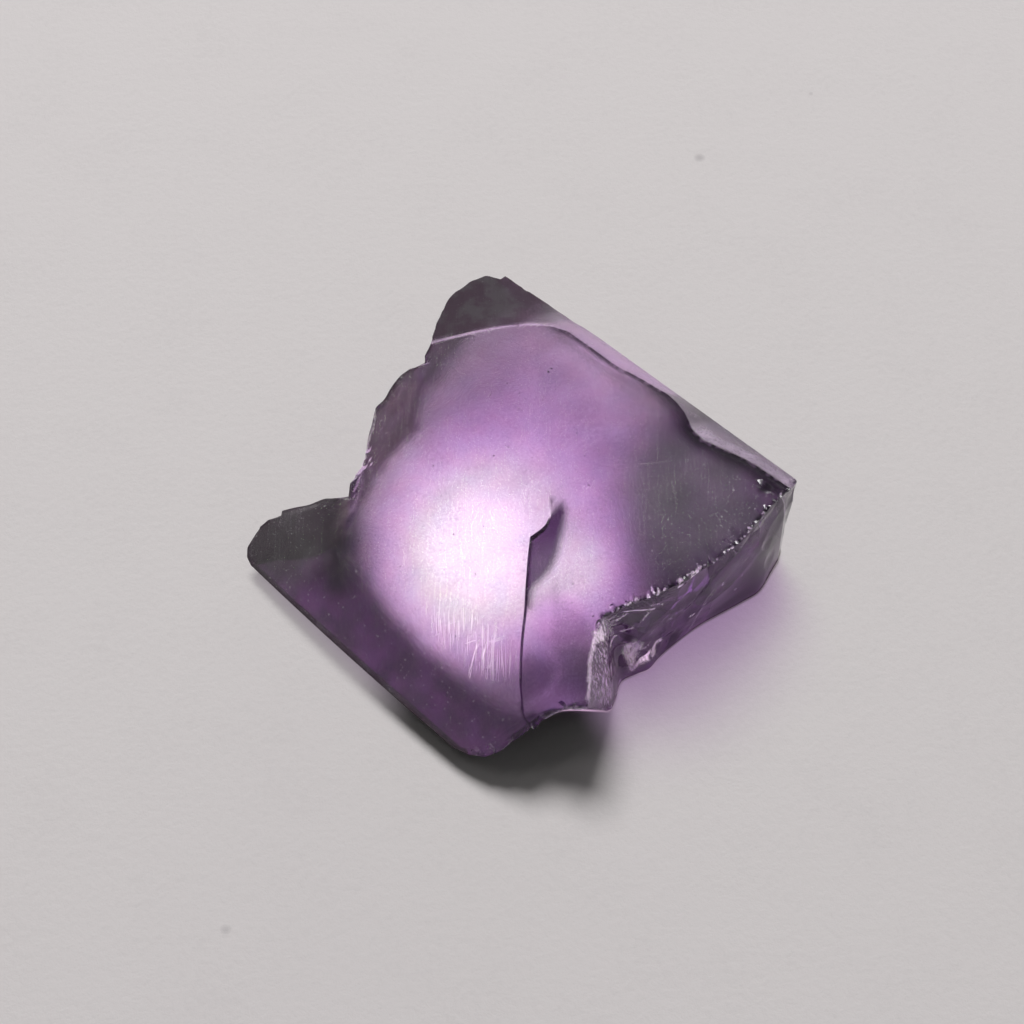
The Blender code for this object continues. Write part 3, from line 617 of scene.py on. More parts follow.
glintLines = [
    ([(-1.68, 0.13), (-2.2, 0.07), (-2.71, 0.01)], 0.05, 0.8),
    ([(-1.99, 1.42), (-2.18, 1.08)], 0.05, 0.7),
    ([(-3.11, 2.26), (-3.01, 1.58), (-2.96, 0.92)], 0.06, 0.45),
    ([(-0.94, 4.03), (-0.69, 4.1), (-0.41, 4.06), (-0.09, 3.87), (0.2, 3.82)], 0.035, 0.7),
    ([(-1.89, 4.49), (-1.39, 3.98), (-1.16, 3.92)], 0.03, 0.45),
    ([(-1.61, 3.8), (-1.32, 3.69), (-1.09, 3.71), (-0.85, 3.86)], 0.03, 0.4),
    ([(-1.62, 3.55), (-1.26, 3.33)], 0.03, 0.35),
    ([(-1.08, 2.58), (-0.86, 2.79), (-0.75, 3.05)], 0.03, 0.3),
    ([(-0.42, 3.32), (-0.19, 3.52), (-0.01, 3.69)], 0.035, 0.28),
    ([(-0.04, 1.98), (0.11, 2.31)], 0.03, 0.3),
    ([(-1.61, 1.91), (-1.47, 2.13), (-1.32, 2.29), (-1.19, 2.36)], 0.035, 0.5),
    ([(-0.51, 1.3), (-0.29, 1.4), (-0.05, 1.46)], 0.03, 0.35), ([(2.22, 1.36), (2.4, 1.44)], 0.04, 0.6),
    ([(1.04, 2.19), (1.18, 2.17)], 0.04, 0.5), ([(-0.01, 4.19), (0.15, 4.23)], 0.04, 0.35),
    ([(0.26, 4.13), (0.55, 3.93)], 0.035, 0.4), ([(3.86, 2.44), (3.9, 2.46)], 0.06, 0.4),
    ([(5.06, 2.04), (5.1, 2.06)], 0.06, 0.3), ([(4.73, 1.18), (4.76, 1.2)], 0.06, 0.3),
    ([(7.84, 4.56), (6.95, 4.05), (6.07, 3.52), (5.31, 3.03), (4.37, 2.85), (3.46, 2.54)], 0.19, 0.1),
    ([(3.46, 2.54), (2.91, 1.99), (2.63, 1.23), (2.42, 0.39), (1.98, 0.01)], 0.08, 0.12),
]
# Painted shade in hollows and cracks on the right break, in the same way.
recessShadeAreas = [
    ([(-1.61, 1.67), (-1.31, 1.93), (-1.06, 2.16), (-0.87, 2.46), (-0.7, 2.61), (-0.73, 2.16),
      (-1.0, 1.48), (-1.08, 0.96), (-1.2, 0.53), (-1.37, 0.32), (-1.64, 0.33), (-1.76, 0.62),
      (-1.75, 1.4)], 0.22, 0.5),
    ([(-2.04, 1.0), (-2.47, 0.56), (-2.98, 0.38), (-2.73, 0.04), (-2.17, 0.03),
      (-1.71, 0.16)], 0.1, 0.5),
    ([(1.49, 0.93), (1.98, 0.46), (1.4, 0.01), (0.41, 0.02), (0.33, 0.25), (0.76, 0.15),
      (1.2, 0.41)], 0.12, 0.7),
    ([(1.8, 3.0), (2.1, 4.8), (3.3, 4.8), (3.5, 3.4), (3.2, 2.3), (2.3, 2.4)], 0.4, 0.6),
    ([(3.2, 0.0), (3.2, 1.2), (4.4, 1.9), (5.6, 2.2), (7.4, 3.3), (8.7, 3.9), (8.9, 0.0)], 0.5, 0.55),
]
recessShadeLines = [
    ([(-2.25, 4.94), (-1.87, 5.09), (-1.67, 5.13), (-1.12, 4.6), (-0.67, 4.73),
      (-0.24, 4.84)], 0.06, 0.95),
    ([(-1.07, 3.97), (-0.84, 4.0), (-0.54, 3.98), (-0.08, 3.78), (0.11, 3.78)], 0.04, 0.75),
    ([(-1.86, 4.63), (-1.39, 4.15), (-1.11, 3.99)], 0.04, 0.6),
    ([(-1.54, 3.79), (-1.08, 3.81)], 0.035, 0.6), ([(-1.29, 3.48), (-1.04, 3.47)], 0.035, 0.55),
    ([(-1.0, 1.6), (-1.05, 0.95), (-1.22, 0.54)], 0.05, 0.6),
    ([(1.02, 0.19), (1.18, 0.36), (1.32, 0.5)], 0.05, 0.8),
]

# Painted glints at crushed crumbs along the rim of the right break: along, across, radius.
glintCrumbs = [
    (7.46, -0.86, 0.09), (7.38, -1.13, 0.05), (7.36, -1.23, 0.05), (7.16, -1.62, 0.06), (7.81, 0.07, 0.05),
    (7.89, 0.05, 0.07), (8.04, 0.25, 0.06), (8.23, 0.99, 0.10), (8.30, 1.06, 0.06), (8.27, 0.91, 0.06),
    (8.32, 1.35, 0.06), (8.39, 1.57, 0.09), (8.47, 1.78, 0.12), (8.41, 1.98, 0.10), (8.39, 1.63, 0.06),
    (8.51, 2.18, 0.05), (8.66, 2.61, 0.05), (8.67, 2.81, 0.06), (8.67, 3.21, 0.05), (8.71, 3.41, 0.05),
    (8.76, 3.62, 0.05), (8.75, 3.70, 0.06), (8.66, 4.04, 0.06), (8.75, 4.45, 0.07), (8.69, 4.27, 0.05),
    (8.59, 4.87, 0.08), (8.68, 4.95, 0.09), (8.70, 4.72, 0.05), (8.46, 5.94, 0.05), (8.26, 7.31, 0.06),
]

# Painted highlights on the rims (columns, half width, strength), the crumbs, the bevel and the shoulder.
# Here and below, a pair is where a change starts and how far on it is complete, and three numbers are
# the strength, size and seed of a mottling.
highlightMarks = {
    "rightFrom": 5.0, "rimDepth": 0.5, "shoulderFrom": 0.01,
    "rims": [(frostedFacet, 0.06, 0.9), (sheetEdge, 0.07, 0.6), (leftBreak[7:13], 0.06, 0.8)],
    "glintCrumbShare": 0.8, "bevel": 0.5, "bevelAt": 0.12, "bevelHalf": 0.11, "bevelEnd": (0.30, -0.06),
    "sheenVeil": 0.38, "veilFrom": (3.2, 0.6), "thinVeil": 0.10, "thinFrom": (1.0, 0.5), "thinTo": (3.8, -0.6),
    "uneven": (0.25, 0.9, 41), "veilHalf": 0.9,
}
# Painted shade: under the crest, the shoulder gap, the crumbled rim, the right break; a dark crack;
# mottling.
shadeMarks = {
    "crest": 0.85, "crestFrom": (0.27, 0.05), "crestWide": 0.40, "widens": 0.75, "wideFrom": (0.5, 0.2),
    "gap": 0.75, "gapFrom": (1.1, 0.4), "gapTo": (3.6, -0.7),
    "crack": 0.95, "crackHalf": 0.07, "crackFrom": (6.4, 0.3), "crackAbove": 1.8,
    "crumbled": 0.6, "crumbledUneven": (0.5, 0.35, 21), "crumbledHalf": 0.2,
    "crumbledShare": 0.9, "crumbledMost": 0.95,
    "facets": 0.20, "facetsUneven": (0.14, 1.1, 61), "scarEdge": 0.03,
    "plain": 0.04, "plainWaves": (1.6, 8), "scarPlain": 0.05, "scarWaves": (3.1, 9),
}
# Painted shade: a dark coat on the left break, the near left tip and the lobe.
shadeCoating = {
    "leftTo": -5.0, "tipBelow": -4.5, "left": 0.10, "leftMore": 0.82, "leftAcross": (-3.6, 1.4),
    "shoulderFrom": 0.02, "lobe": 0.88, "lobeAlong": (-4.3, -2.4), "lobeUneven": (0.35, 1.3, 31),
    "lobeEdge": (0.1, 0.35),
    "tip": 0.40, "tipAlong": (-5.0, -2.0), "tipUneven": (0.4, 1.5, 51), "tipAcross": (-4.3, -1.6),
}


# Nine waves of uneven lengths and ways, between about -1 and 1 together.
def mottle(a, c, size, seed):
    rng = np.random.default_rng(seed)
    total = np.zeros(np.shape(a))
    for _ in range(9):
        way, phase = rng.uniform(0.0, 2.0 * np.pi, 2)
        wave = 2.0 * np.pi / (size * rng.uniform(0.6, 2.2))
        total = total + np.sin(wave * (a * math.cos(way) + c * math.sin(way)) + phase)
    return total / 4.0


def uneven(a, c, spec):
    strength, size, seed = spec
    return strength * mottle(a, c, size, seed)


# How far inside a closed outline each point lies.
def depthInside(loop, a, c):
    side = np.abs(beside(list(loop) + [loop[0]], a, c)[0])
    return np.where(insideLoop(np.array(loop), a, c), side, -side)


# 1 inside an outline, softened across its edge.
def inOutline(loop, a, c, soft, ragged=0.0):
    return smooth(0.5 + (depthInside(loop, a, c) + ragged) / soft)


def windowShare(a, c):
    soft = window["soft"] + (window["farSoft"] - window["soft"]) * rise(a + c, *window["farRise"])
    return inOutline(window["edge"], a, c, soft, uneven(a, c, window["ragged"]))


# Colour of the lamp light that the surface lets through.
def lampShare(design, on):
    a, c, z = design.T
    wall = light["walls"] + (light["nearWalls"] - light["walls"]) * rise(c, *light["nearAcross"])
    wall = wall + light["tipWalls"] * rise(c, *light["tipAcross"]) * rise(a, *light["tipAlong"])
    wall[on["skin"]] = 1.0
    gain = np.full(len(design), light["rest"])
    for strength, middle, reach, spin, flat in pools:
        offA, offC = a - middle[0], c - middle[1]
        u = (offA * math.cos(spin) + offC * math.sin(spin)) / reach[0]
        v = (offC * math.cos(spin) - offA * math.sin(spin)) / reach[1]
        gain = gain + strength * np.exp(-(u * u + v * v) ** flat)
    gain = gain * (1.0 + uneven(a, c, light["uneven"]))
    pale = np.clip((gain - light["paleFrom"]) / light["paleSpan"], 0.0, 1.0)
    under = np.stack([gain * (most - less * pale) for most, less in light["tint"]], 1)
    return np.where((z < onPaper)[:, None], under, wall[:, None])


def markShare(areas, lines, c, z):
    share = np.zeros(len(c))
    for outline, soft, strength in areas:
        share = np.maximum(share, strength * inOutline(outline, c, z, soft))
    for line, half, strength in lines:
        share = np.maximum(share, strength * closeTo(beside(line, c, z)[0], half, 1.6))
    return share


def gapToRim(columns, a, c):
    return np.abs(beside([column[0] for column in columns], a, c)[0])


def onRightBreak(design, on):
    return (on["fresh"] | on["frosted"]) & (design[:, 0] > highlightMarks["rightFrom"])


# Painted glints and highlights on the right break, crumbs, rims and bevel, and a painted sheen on the
# shoulder.
def glintShare(design, on):
    a, c, z = design.T
    share = np.where(onRightBreak(design, on), markShare(glintAreas, glintLines, c, z), 0.0)
    side, along, _, _ = beside(crestLine, a, c)
    atRim = highlightMarks["bevel"] * closeTo(side - highlightMarks["bevelAt"], highlightMarks["bevelHalf"])
    atRim = atRim * rise(along, *highlightMarks["bevelEnd"])
    for crumbA, crumbC, radius in glintCrumbs:
        gap = np.hypot(a - crumbA, c - crumbC)
        atRim = np.maximum(atRim, closeTo(gap, highlightMarks["glintCrumbShare"] * radius, 1.4))
    for columns, half, strength in highlightMarks["rims"]:
        atRim = np.maximum(atRim, strength * closeTo(gapToRim(columns, a, c), half))
    top = np.abs(z - topHeight(a, c)) < highlightMarks["rimDepth"]
    share = np.maximum(share, np.where(top, atRim, 0.0))
    sheenVeil = highlightMarks["sheenVeil"] * rise(a, *highlightMarks["veilFrom"])
    sheenVeil = sheenVeil + highlightMarks["thinVeil"] * rise(a, *highlightMarks["thinFrom"]) * rise(a, *highlightMarks["thinTo"])
    sheenVeil = sheenVeil * (1.0 + uneven(a, c, highlightMarks["uneven"])) * closeTo(side, highlightMarks["veilHalf"])
    return np.where(on["skin"] & (side > highlightMarks["shoulderFrom"]), np.maximum(share, sheenVeil), share)


# Painted shade in the scar, under the crest, in the shoulder gap, on the rim and right break, plus
# mottling.
def shadeAndMottleShare(design, on):
    a, c, z = design.T
    step = beside(stepLine, a, c)[0]
    inScar = step > shadeMarks["scarEdge"]
    share = np.zeros(len(design))
    for outline, soft, dark in shadeOutlines:
        share = np.maximum(share, dark * inOutline(outline, a, c, soft) * inScar)
    side, along, _, _ = beside(crestLine, a, c)
    wide = shadeMarks["crestWide"] + shadeMarks["widens"] * rise(along, *shadeMarks["wideFrom"])
    under = shadeMarks["crest"] * smooth(1.0 + side / wide) * rise(along, *shadeMarks["crestFrom"])
    gone = shadeMarks["gap"] * rise(a, *shadeMarks["gapFrom"]) * rise(a, *shadeMarks["gapTo"])
    share = np.maximum(share, np.where(side > 0.0, gone, under) * on["skin"])
    crack = shadeMarks["crack"] * closeTo(step, shadeMarks["crackHalf"]) * rise(a, *shadeMarks["crackFrom"])
    share = np.maximum(share, crack * (z > shadeMarks["crackAbove"]))
    brokenUp = shadeMarks["crumbled"] + uneven(a, c, shadeMarks["crumbledUneven"])
    brokenUp = brokenUp * closeTo(gapToRim(farBreak[:-1], a, c), shadeMarks["crumbledHalf"], 1.3)
    brokenUp = brokenUp * (z > topHeight(a, c) - highlightMarks["rimDepth"])
    share = np.maximum(share, np.clip(shadeMarks["crumbledShare"] * brokenUp, 0.0, shadeMarks["crumbledMost"]))
    facets = shadeMarks["facets"] + uneven(c, z, shadeMarks["facetsUneven"])
    facets = np.maximum(facets, markShare(recessShadeAreas, recessShadeLines, c, z))
    share = np.maximum(share, np.where(onRightBreak(design, on), facets, 0.0))
    plain = shadeMarks["plain"] * (1.0 + mottle(a, c, *shadeMarks["plainWaves"]))
    plain = plain + shadeMarks["scarPlain"] * (1.0 + mottle(a, c, *shadeMarks["scarWaves"])) * inScar
    share = np.clip(share + plain, 0.0, 1.0) * (z > onPaper)
    return 1.0 - (1.0 - share) ** 2


# Painted shade: a dark coat round the underside's clear window, on the near cut, left break, tip and lobe.
def paintedShadeCoatShare(design, on):
    a, c, z = design.T
    dark = (1.0 - windowShare(a, c)) * (z < onPaper)
    dark[on["sawn"] & (c < 0.0)] = 1.0
    left = on["fresh"] & (a < shadeCoating["leftTo"])
    leftShare = shadeCoating["left"] + shadeCoating["leftMore"] * rise(c, *shadeCoating["leftAcross"])
    dark = np.where(left, np.where(c < shadeCoating["tipBelow"], 1.0, leftShare), dark)
    side, _, _, _ = beside(crestLine, a, c)
    shoulder = side > shadeCoating["shoulderFrom"]
    lobeShare = shadeCoating["lobe"] * rise(a - uneven(a, c, shadeCoating["lobeUneven"]), *shadeCoating["lobeAlong"])
    lobeShare = lobeShare * rise(side, *shadeCoating["lobeEdge"])
    tipShare = shadeCoating["tip"] * rise(a - uneven(a, c, shadeCoating["tipUneven"]), *shadeCoating["tipAlong"])
    tipShare = np.maximum(dark, tipShare * rise(c, *shadeCoating["tipAcross"]))
    return np.where(on["skin"], np.where(shoulder, lobeShare, tipShare), dark)


def addValues(mesh, name, values, domain="POINT"):
    kind, key = ("FLOAT_VECTOR", "vector") if values.ndim == 2 else ("FLOAT", "value")
    layer = mesh.attributes.new(name, kind, domain)
    layer.data.foreach_set(key, values.astype(np.float32).ravel())


def stoneObject():
    verts, tris, parts = buildStone()
    design = verts.copy()
    spin = np.array([[math.cos(turn), -math.sin(turn)], [math.sin(turn), math.cos(turn)]])
    verts[:, :2] = verts[:, :2] @ spin.T - np.array(designCentre)
    verts *= millimetre
    low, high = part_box("alexandrite_crystal")
    print("stone box", verts.min(0), verts.max(0), "cad", list(low), list(high))
    verts = np.clip(verts, np.array(low), np.array(high))
    mesh = bpy.data.meshes.new("roughAlexandrite")
    mesh.from_pydata(verts.tolist(), [], tris.tolist())
    mesh.update()
    on = {}
    for name in partNames:
        addValues(mesh, name, parts == name, "FACE")
        on[name] = np.zeros(len(verts), bool)
        on[name][tris[parts == name].ravel()] = True
    addValues(mesh, "stonePlace", design)
    addValues(mesh, "paintedShadeCoat", paintedShadeCoatShare(design, on))
    addValues(mesh, "paintedGlint", glintShare(design, on))
    addValues(mesh, "shadeAndMottle", shadeAndMottleShare(design, on))
    addValues(mesh, "lampLight", lampShare(design, on))
    mesh.shade_smooth()
    mesh.set_sharp_from_angle(angle=math.radians(stone["sharpAngle"]))
    stoneThing = bpy.data.objects.new("roughAlexandrite", mesh)
    bpy.context.scene.collection.objects.link(stoneThing)
    return stoneThing


def addNode(tree, kind, **settings):
    node = tree.nodes.new(kind)
    for name, value in settings.items():
        setattr(node, name, value)
    return node


# Sets an input to a plain value, or links it where the value is another node's output.
def setInput(tree, target, value):
    if hasattr(value, "is_linked"):
        tree.links.new(value, target)
    elif target.type == "RGBA":
        target.default_value = (*value, 1.0)
    else:
        target.default_value = value


def feed(tree, node, **values):
    for name, value in values.items():
        setInput(tree, node.inputs[name], value)
    return node


def sums(tree, operation, *values, clamp=False):
    node = addNode(tree, "ShaderNodeMath", operation=operation, use_clamp=clamp)
    for target, value in zip(node.inputs, values):
        setInput(tree, target, value)
    return node.outputs[0]


def plus(tree, *values, clamp=False):
    return sums(tree, "ADD", *values, clamp=clamp)


def times(tree, *values, clamp=False):
    return sums(tree, "MULTIPLY", *values, clamp=clamp)


def timesPlus(tree, *values, clamp=False):
    return sums(tree, "MULTIPLY_ADD", *values, clamp=clamp)


def attribute(tree, name, output="Fac"):
    return addNode(tree, "ShaderNodeAttribute", attribute_name=name).outputs[output]


def noise(tree, where, scale, detail=2.0, roughness=0.5):
    node = addNode(tree, "ShaderNodeTexNoise")
    return feed(tree, node, Vector=where, Scale=scale, Detail=detail, Roughness=roughness).outputs["Fac"]


# 0 to 1 as the value goes from low to high.
def ramp(tree, value, low, high):
    node = addNode(tree, "ShaderNodeMapRange", interpolation_type="SMOOTHSTEP")
    return feed(tree, node, **{"Value": value, "From Min": low, "From Max": high}).outputs["Result"]


# A mask of uneven patches: a noise's scale, detail and roughness, then where the mask starts and ends.
def patches(tree, where, scale, detail, roughness, low, high):
    return ramp(tree, noise(tree, where, scale, detail, roughness), low, high)


def stretched(tree, where, stretch, angle=None):
    if angle is not None:
        spun = addNode(tree, "ShaderNodeMapping")
        where = feed(tree, spun, Vector=where, Rotation=(0.0, 0.0, math.radians(angle))).outputs[0]
    return feed(tree, addNode(tree, "ShaderNodeMapping"), Vector=where, Scale=stretch).outputs[0]


# 1 in the middle of a soft round spot.
def blob(tree, where, centre, reach):
    for operation, value in (("SUBTRACT", centre), ("DIVIDE", reach)):
        node = addNode(tree, "ShaderNodeVectorMath", operation=operation)
        tree.links.new(where, node.inputs[0])
        node.inputs[1].default_value = value
        where = node.outputs[0]
    far = addNode(tree, "ShaderNodeVectorMath", operation="LENGTH")
    tree.links.new(where, far.inputs[0])
    return ramp(tree, far.outputs["Value"], 1.0, 0.35)


# Small round specks, for the dust on the stone and the flecks in the paper.
def speckGroup():
    group = bpy.data.node_groups.new("specks", "ShaderNodeTree")
    for name, kind in (("Place", "NodeSocketVector"), ("Scale", "NodeSocketFloat"),
                       ("Size", "NodeSocketFloat"), ("Share", "NodeSocketFloat")):
        group.interface.new_socket(name=name, in_out="INPUT", socket_type=kind)
    group.interface.new_socket(name="Mask", in_out="OUTPUT", socket_type="NodeSocketFloat")
    source, target = addNode(group, "NodeGroupInput").outputs, addNode(group, "NodeGroupOutput")
    cells = addNode(group, "ShaderNodeTexVoronoi")
    feed(group, cells, Vector=source["Place"], Scale=source["Scale"])
    parts = addNode(group, "ShaderNodeSeparateColor")
    group.links.new(cells.outputs["Color"], parts.inputs[0])
    kept = sums(group, "LESS_THAN", parts.outputs[0], source["Share"])
    size = times(group, source["Size"], plus(group, parts.outputs[1], 0.25))
    edge = sums(group, "SUBTRACT", 1.0, sums(group, "DIVIDE", cells.outputs["Distance"], size), clamp=True)
    feed(group, target, Mask=times(group, times(group, edge, 2.5, clamp=True), kept))
    return group


def specks(tree, group, where, scale, size, share):
    node = addNode(tree, "ShaderNodeGroup", node_tree=group)
    return feed(tree, node, Place=where, Scale=scale, Size=size, Share=share).outputs["Mask"]


# Thin straight marks: where a stretched noise tops a level.
def scratches(tree, where, angle, across, along, level):
    lines = noise(tree, stretched(tree, where, (across, along, 1.0), angle), 1.0, 1.0)
    return ramp(tree, lines, level, level + 0.06)


def bumped(tree, height, distance, normal=None):
    node = feed(tree, addNode(tree, "ShaderNodeBump"), Height=height, Distance=distance * millimetre)
    if normal is not None:
        feed(tree, node, Normal=normal)
    return node.outputs[0]


# Mixes two colours.
def blend(tree, share, first, second, **settings):
    node = addNode(tree, "ShaderNodeMix", data_type="RGBA", **settings)
    return feed(tree, node, Factor=share, A=first, B=second).outputs["Result"]


# Mixes two shaders.
def mixed(tree, share, first, second):
    node = feed(tree, addNode(tree, "ShaderNodeMixShader"), Fac=share)
    tree.links.new(first, node.inputs[1])
    tree.links.new(second, node.inputs[2])
    return node.outputs[0]


def plainShader(tree, kind, colour):
    return feed(tree, addNode(tree, kind), Color=colour).outputs[0]


# Patches are a noise's scale, detail and roughness, and the levels where the patch starts and ends.
look = {
    "purple": (0.45, 0.12, 0.58), "density": 160.0, "ior": 1.75,
    "satin": 0.22, "satinUneven": 0.10, "satinScale": 1.1,
    "sawnRough": 0.30, "frostRough": 0.22, "freshRough": 0.02,
    "bluish": (0.90, 0.93, 1.0), "pinkish": (1.0, 0.91, 0.96), "tintPatches": (0.9, 5.0, 0.65, 0.36, 0.64),
    "deeper": (
        ((0.78, 0.62, 1.0), (7.2, -5.1, 2.8), (2.3, 2.4, 4.0)),
        ((0.96, 0.66, 0.96), (5.6, -3.4, 4.4), (1.9, 1.5, 3.0)),
    ),
    # The dark tone of the painted shade, the mottling and the dark specks.
    "shadeAndMottle": (0.010, 0.002, 0.016), "flecks": (1.7, 0.085, 0.45),
    "specks": (((-3.08, 4.64, 6.0), (0.075, 0.075, 2.0)), ((-3.12, 4.88, 6.0), (0.065, 0.065, 2.0))),
    "grit": (0.68, 0.60, 0.68), "gritPatches": (13.0, 3.0, 0.75, 0.36, 0.60), "brokenGrit": 0.15,
    "scratches": ((-43.0, 15.0, 0.55, 0.58), (-46.0, 24.0, 0.7, 0.60), (38.0, 8.0, 0.3, 0.69)),
    "brightScratches": (-30.0, 9.0, 0.6, 0.62),
    "rubbed": ((3.1, -6.2, 3.4), (3.3, 1.3, 3.0)), "rubbedMore": 0.60, "rubbedLeast": 0.05,
    "deepest": ((4.0, -6.6, 3.2), (1.0, 0.9, 2.0)), "deepestShare": 0.95, "scratchWhite": 0.9,
    "grain": 0.005, "grainScale": 11.0, "scratchDepth": -0.1,
    "sawLines": 0.012, "sawStretch": (0.25, 1.0, 9.0), "sawScale": 1.6,
    "frost": 0.05, "frostNoise": (5.5, 4.0, 0.65),
    "dust": (0.82, 0.76, 0.80), "greyDust": (0.64, 0.62, 0.62), "dustPatches": (0.55, 3.0, 0.5, 0.40, 0.62),
    "smallDust": (3.4, 0.15, 0.40), "small": 0.40, "tinyDust": (6.5, 0.24, 0.50), "tiny": 0.24,
    # The dust film also paints a sheen over the stone.
    "sheenVeil": 0.05, "filmNoise": (24.0, 3.0, 0.8), "filmGain": 3.0, "filmDrop": -0.5, "brokenDust": 0.10,
    "films": (((5.6, 3.6, 5.5), (4.2, 5.0, 4.0), 0.09), ((-7.3, -7.6, 1.5), (3.0, 3.0, 4.0), 0.12)),
    "lessMarksInShade": -0.85,
    # The white, glowing layer of painted glints, frosted crumbs and scratches.
    "white": (0.87, 0.76, 0.91), "glow": (0.93, 0.81, 1.0), "glowShare": 0.6,
    "glintStretch": (6.0, 6.0, 2.0),
    "frostCrumbs": (1.0, 3.0, 0.7, 0.47, 0.63), "frostWhite": (0.60, 0.02),
    "glintCrumbs": (2.2, 3.0, 0.75, 0.34, 0.60), "glintWhite": (0.75, 0.35),
    # Tones of the painted shade coat: purple under the stone, a dull crust tone on the skin and sawn faces.
    "shadeCoat": (0.22, 0.11, 0.23), "thinShadeCoat": (0.13, 0.084, 0.135),
    "shadeCoatPatches": (0.7, 3.0, 0.5, 0.35, 0.68),
    "shadeCrust": (0.072, 0.050, 0.066), "dullShadeCrust": (0.094, 0.082, 0.092),
    "shadeCrustPatches": (0.8, 4.0, 0.6, 0.42, 0.62), "brokenShadeCrust": 0.65,
}


def crystalRoughness(tree, at):
    satin = noise(tree, at["place"], look["satinScale"], 3.0)
    satin = timesPlus(tree, satin, look["satinUneven"], look["satin"] - look["satinUneven"] / 2.0)
    rough = times(tree, satin, at["skin"])
    for part, name in (("sawn", "sawnRough"), ("frosted", "frostRough"), ("fresh", "freshRough")):
        rough = timesPlus(tree, at[part], look[name], rough)
    return rough


def crystalColour(tree, at, speckNodes):
    place, skin = at["place"], at["skin"]
    tone = blend(tree, patches(tree, place, *look["tintPatches"]), look["bluish"], look["pinkish"])
    for deeper, centre, reach in look["deeper"]:
        tone = blend(tree, times(tree, blob(tree, place, centre, reach), skin), tone, deeper)
    dark = plus(tree, *[blob(tree, place, centre, reach) for centre, reach in look["specks"]])
    dark = plus(tree, specks(tree, speckNodes, place, *look["flecks"]), dark)
    # Painted shade and mottling, with the dark specks, darken the tone.
    tone = blend(tree, plus(tree, at["shadeAndMottle"], dark, clamp=True), tone, look["shadeAndMottle"])
    grit = blend(tree, patches(tree, place, *look["gritPatches"]), look["grit"], (1.0, 1.0, 1.0))
    share = timesPlus(tree, skin, 1.0 - look["brokenGrit"], look["brokenGrit"])
    return blend(tree, share, tone, grit, blend_type="MULTIPLY")


# Where the skin is scratched. Most scratches lie in the rubbed place near the near edge.
def scratchShare(tree, at):
    place = at["place"]
    fine, finer, wide = [scratches(tree, place, *spec) for spec in look["scratches"]]
    marks = plus(tree, plus(tree, fine, finer), wide, clamp=True)
    rubbed = timesPlus(tree, blob(tree, place, *look["rubbed"]), look["rubbedMore"], look["rubbedLeast"])
    marks = times(tree, times(tree, marks, rubbed), at["clean"])
    deepest = times(tree, blob(tree, place, *look["deepest"]), look["deepestShare"])
    return timesPlus(tree, scratches(tree, place, *look["brightScratches"]), deepest, marks, clamp=True)


def crystalNormal(tree, at, scratched):
    place = at["place"]
    grain = noise(tree, place, look["grainScale"], 2.0, 0.7)
    height = timesPlus(tree, grain, 1.0, times(tree, scratched, look["scratchDepth"]))
    normal = bumped(tree, times(tree, height, at["skin"]), look["grain"])
    lines = noise(tree, stretched(tree, place, look["sawStretch"], 0.0), look["sawScale"], 3.0)
    normal = bumped(tree, times(tree, lines, at["sawn"]), look["sawLines"], normal)
    frost = noise(tree, place, *look["frostNoise"])
    return bumped(tree, times(tree, frost, at["frosted"]), look["frost"], normal)


# Specks of dust, and a thin film of it that is thicker in two places; the film also paints a sheen over the
# stone.
def dustAndSheenShare(tree, at, speckNodes):
    place = at["place"]
    small = specks(tree, speckNodes, place, *look["smallDust"])
    tiny = specks(tree, speckNodes, place, *look["tinyDust"])
    dust = timesPlus(tree, small, look["small"], times(tree, tiny, look["tiny"]))
    thick = [times(tree, blob(tree, place, centre, reach), more) for centre, reach, more in look["films"]]
    film = plus(tree, look["sheenVeil"], plus(tree, *thick))
    patchy = timesPlus(tree, noise(tree, place, *look["filmNoise"]), look["filmGain"], look["filmDrop"])
    dust = times(tree, plus(tree, times(tree, film, patchy), dust), at["clean"])
    return times(tree, dust, plus(tree, at["skin"], look["brokenDust"]), clamp=True)


# White layer: painted glints broken up by noise, the frosted facet's white crumbs, and white scratches.
def glintAndFrostShare(tree, at, scratched):
    where = stretched(tree, at["place"], look["glintStretch"])
    frost = timesPlus(tree, patches(tree, where, *look["frostCrumbs"]), *look["frostWhite"])
    brokenUp = timesPlus(tree, patches(tree, where, *look["glintCrumbs"]), *look["glintWhite"])
    glintAndFrost = times(tree, attribute(tree, "paintedGlint"), brokenUp)
    glintAndFrost = timesPlus(tree, at["frosted"], frost, glintAndFrost)
    return timesPlus(tree, times(tree, scratched, at["skin"]), look["scratchWhite"], glintAndFrost, clamp=True)


# Colour of the painted shade coat: patchy purple below, a patchy dull tone on the skin, sawn faces and
# breaks.
def shadeCoatColour(tree, at):
    base = blend(tree, patches(tree, at["place"], *look["shadeCoatPatches"]), look["thinShadeCoat"], look["shadeCoat"])
    shadeCrust = blend(tree, patches(tree, at["place"], *look["shadeCrustPatches"]), look["shadeCrust"], look["dullShadeCrust"])
    sides = timesPlus(tree, at["fresh"], look["brokenShadeCrust"], plus(tree, at["skin"], at["sawn"]))
    return blend(tree, sides, base, shadeCrust)


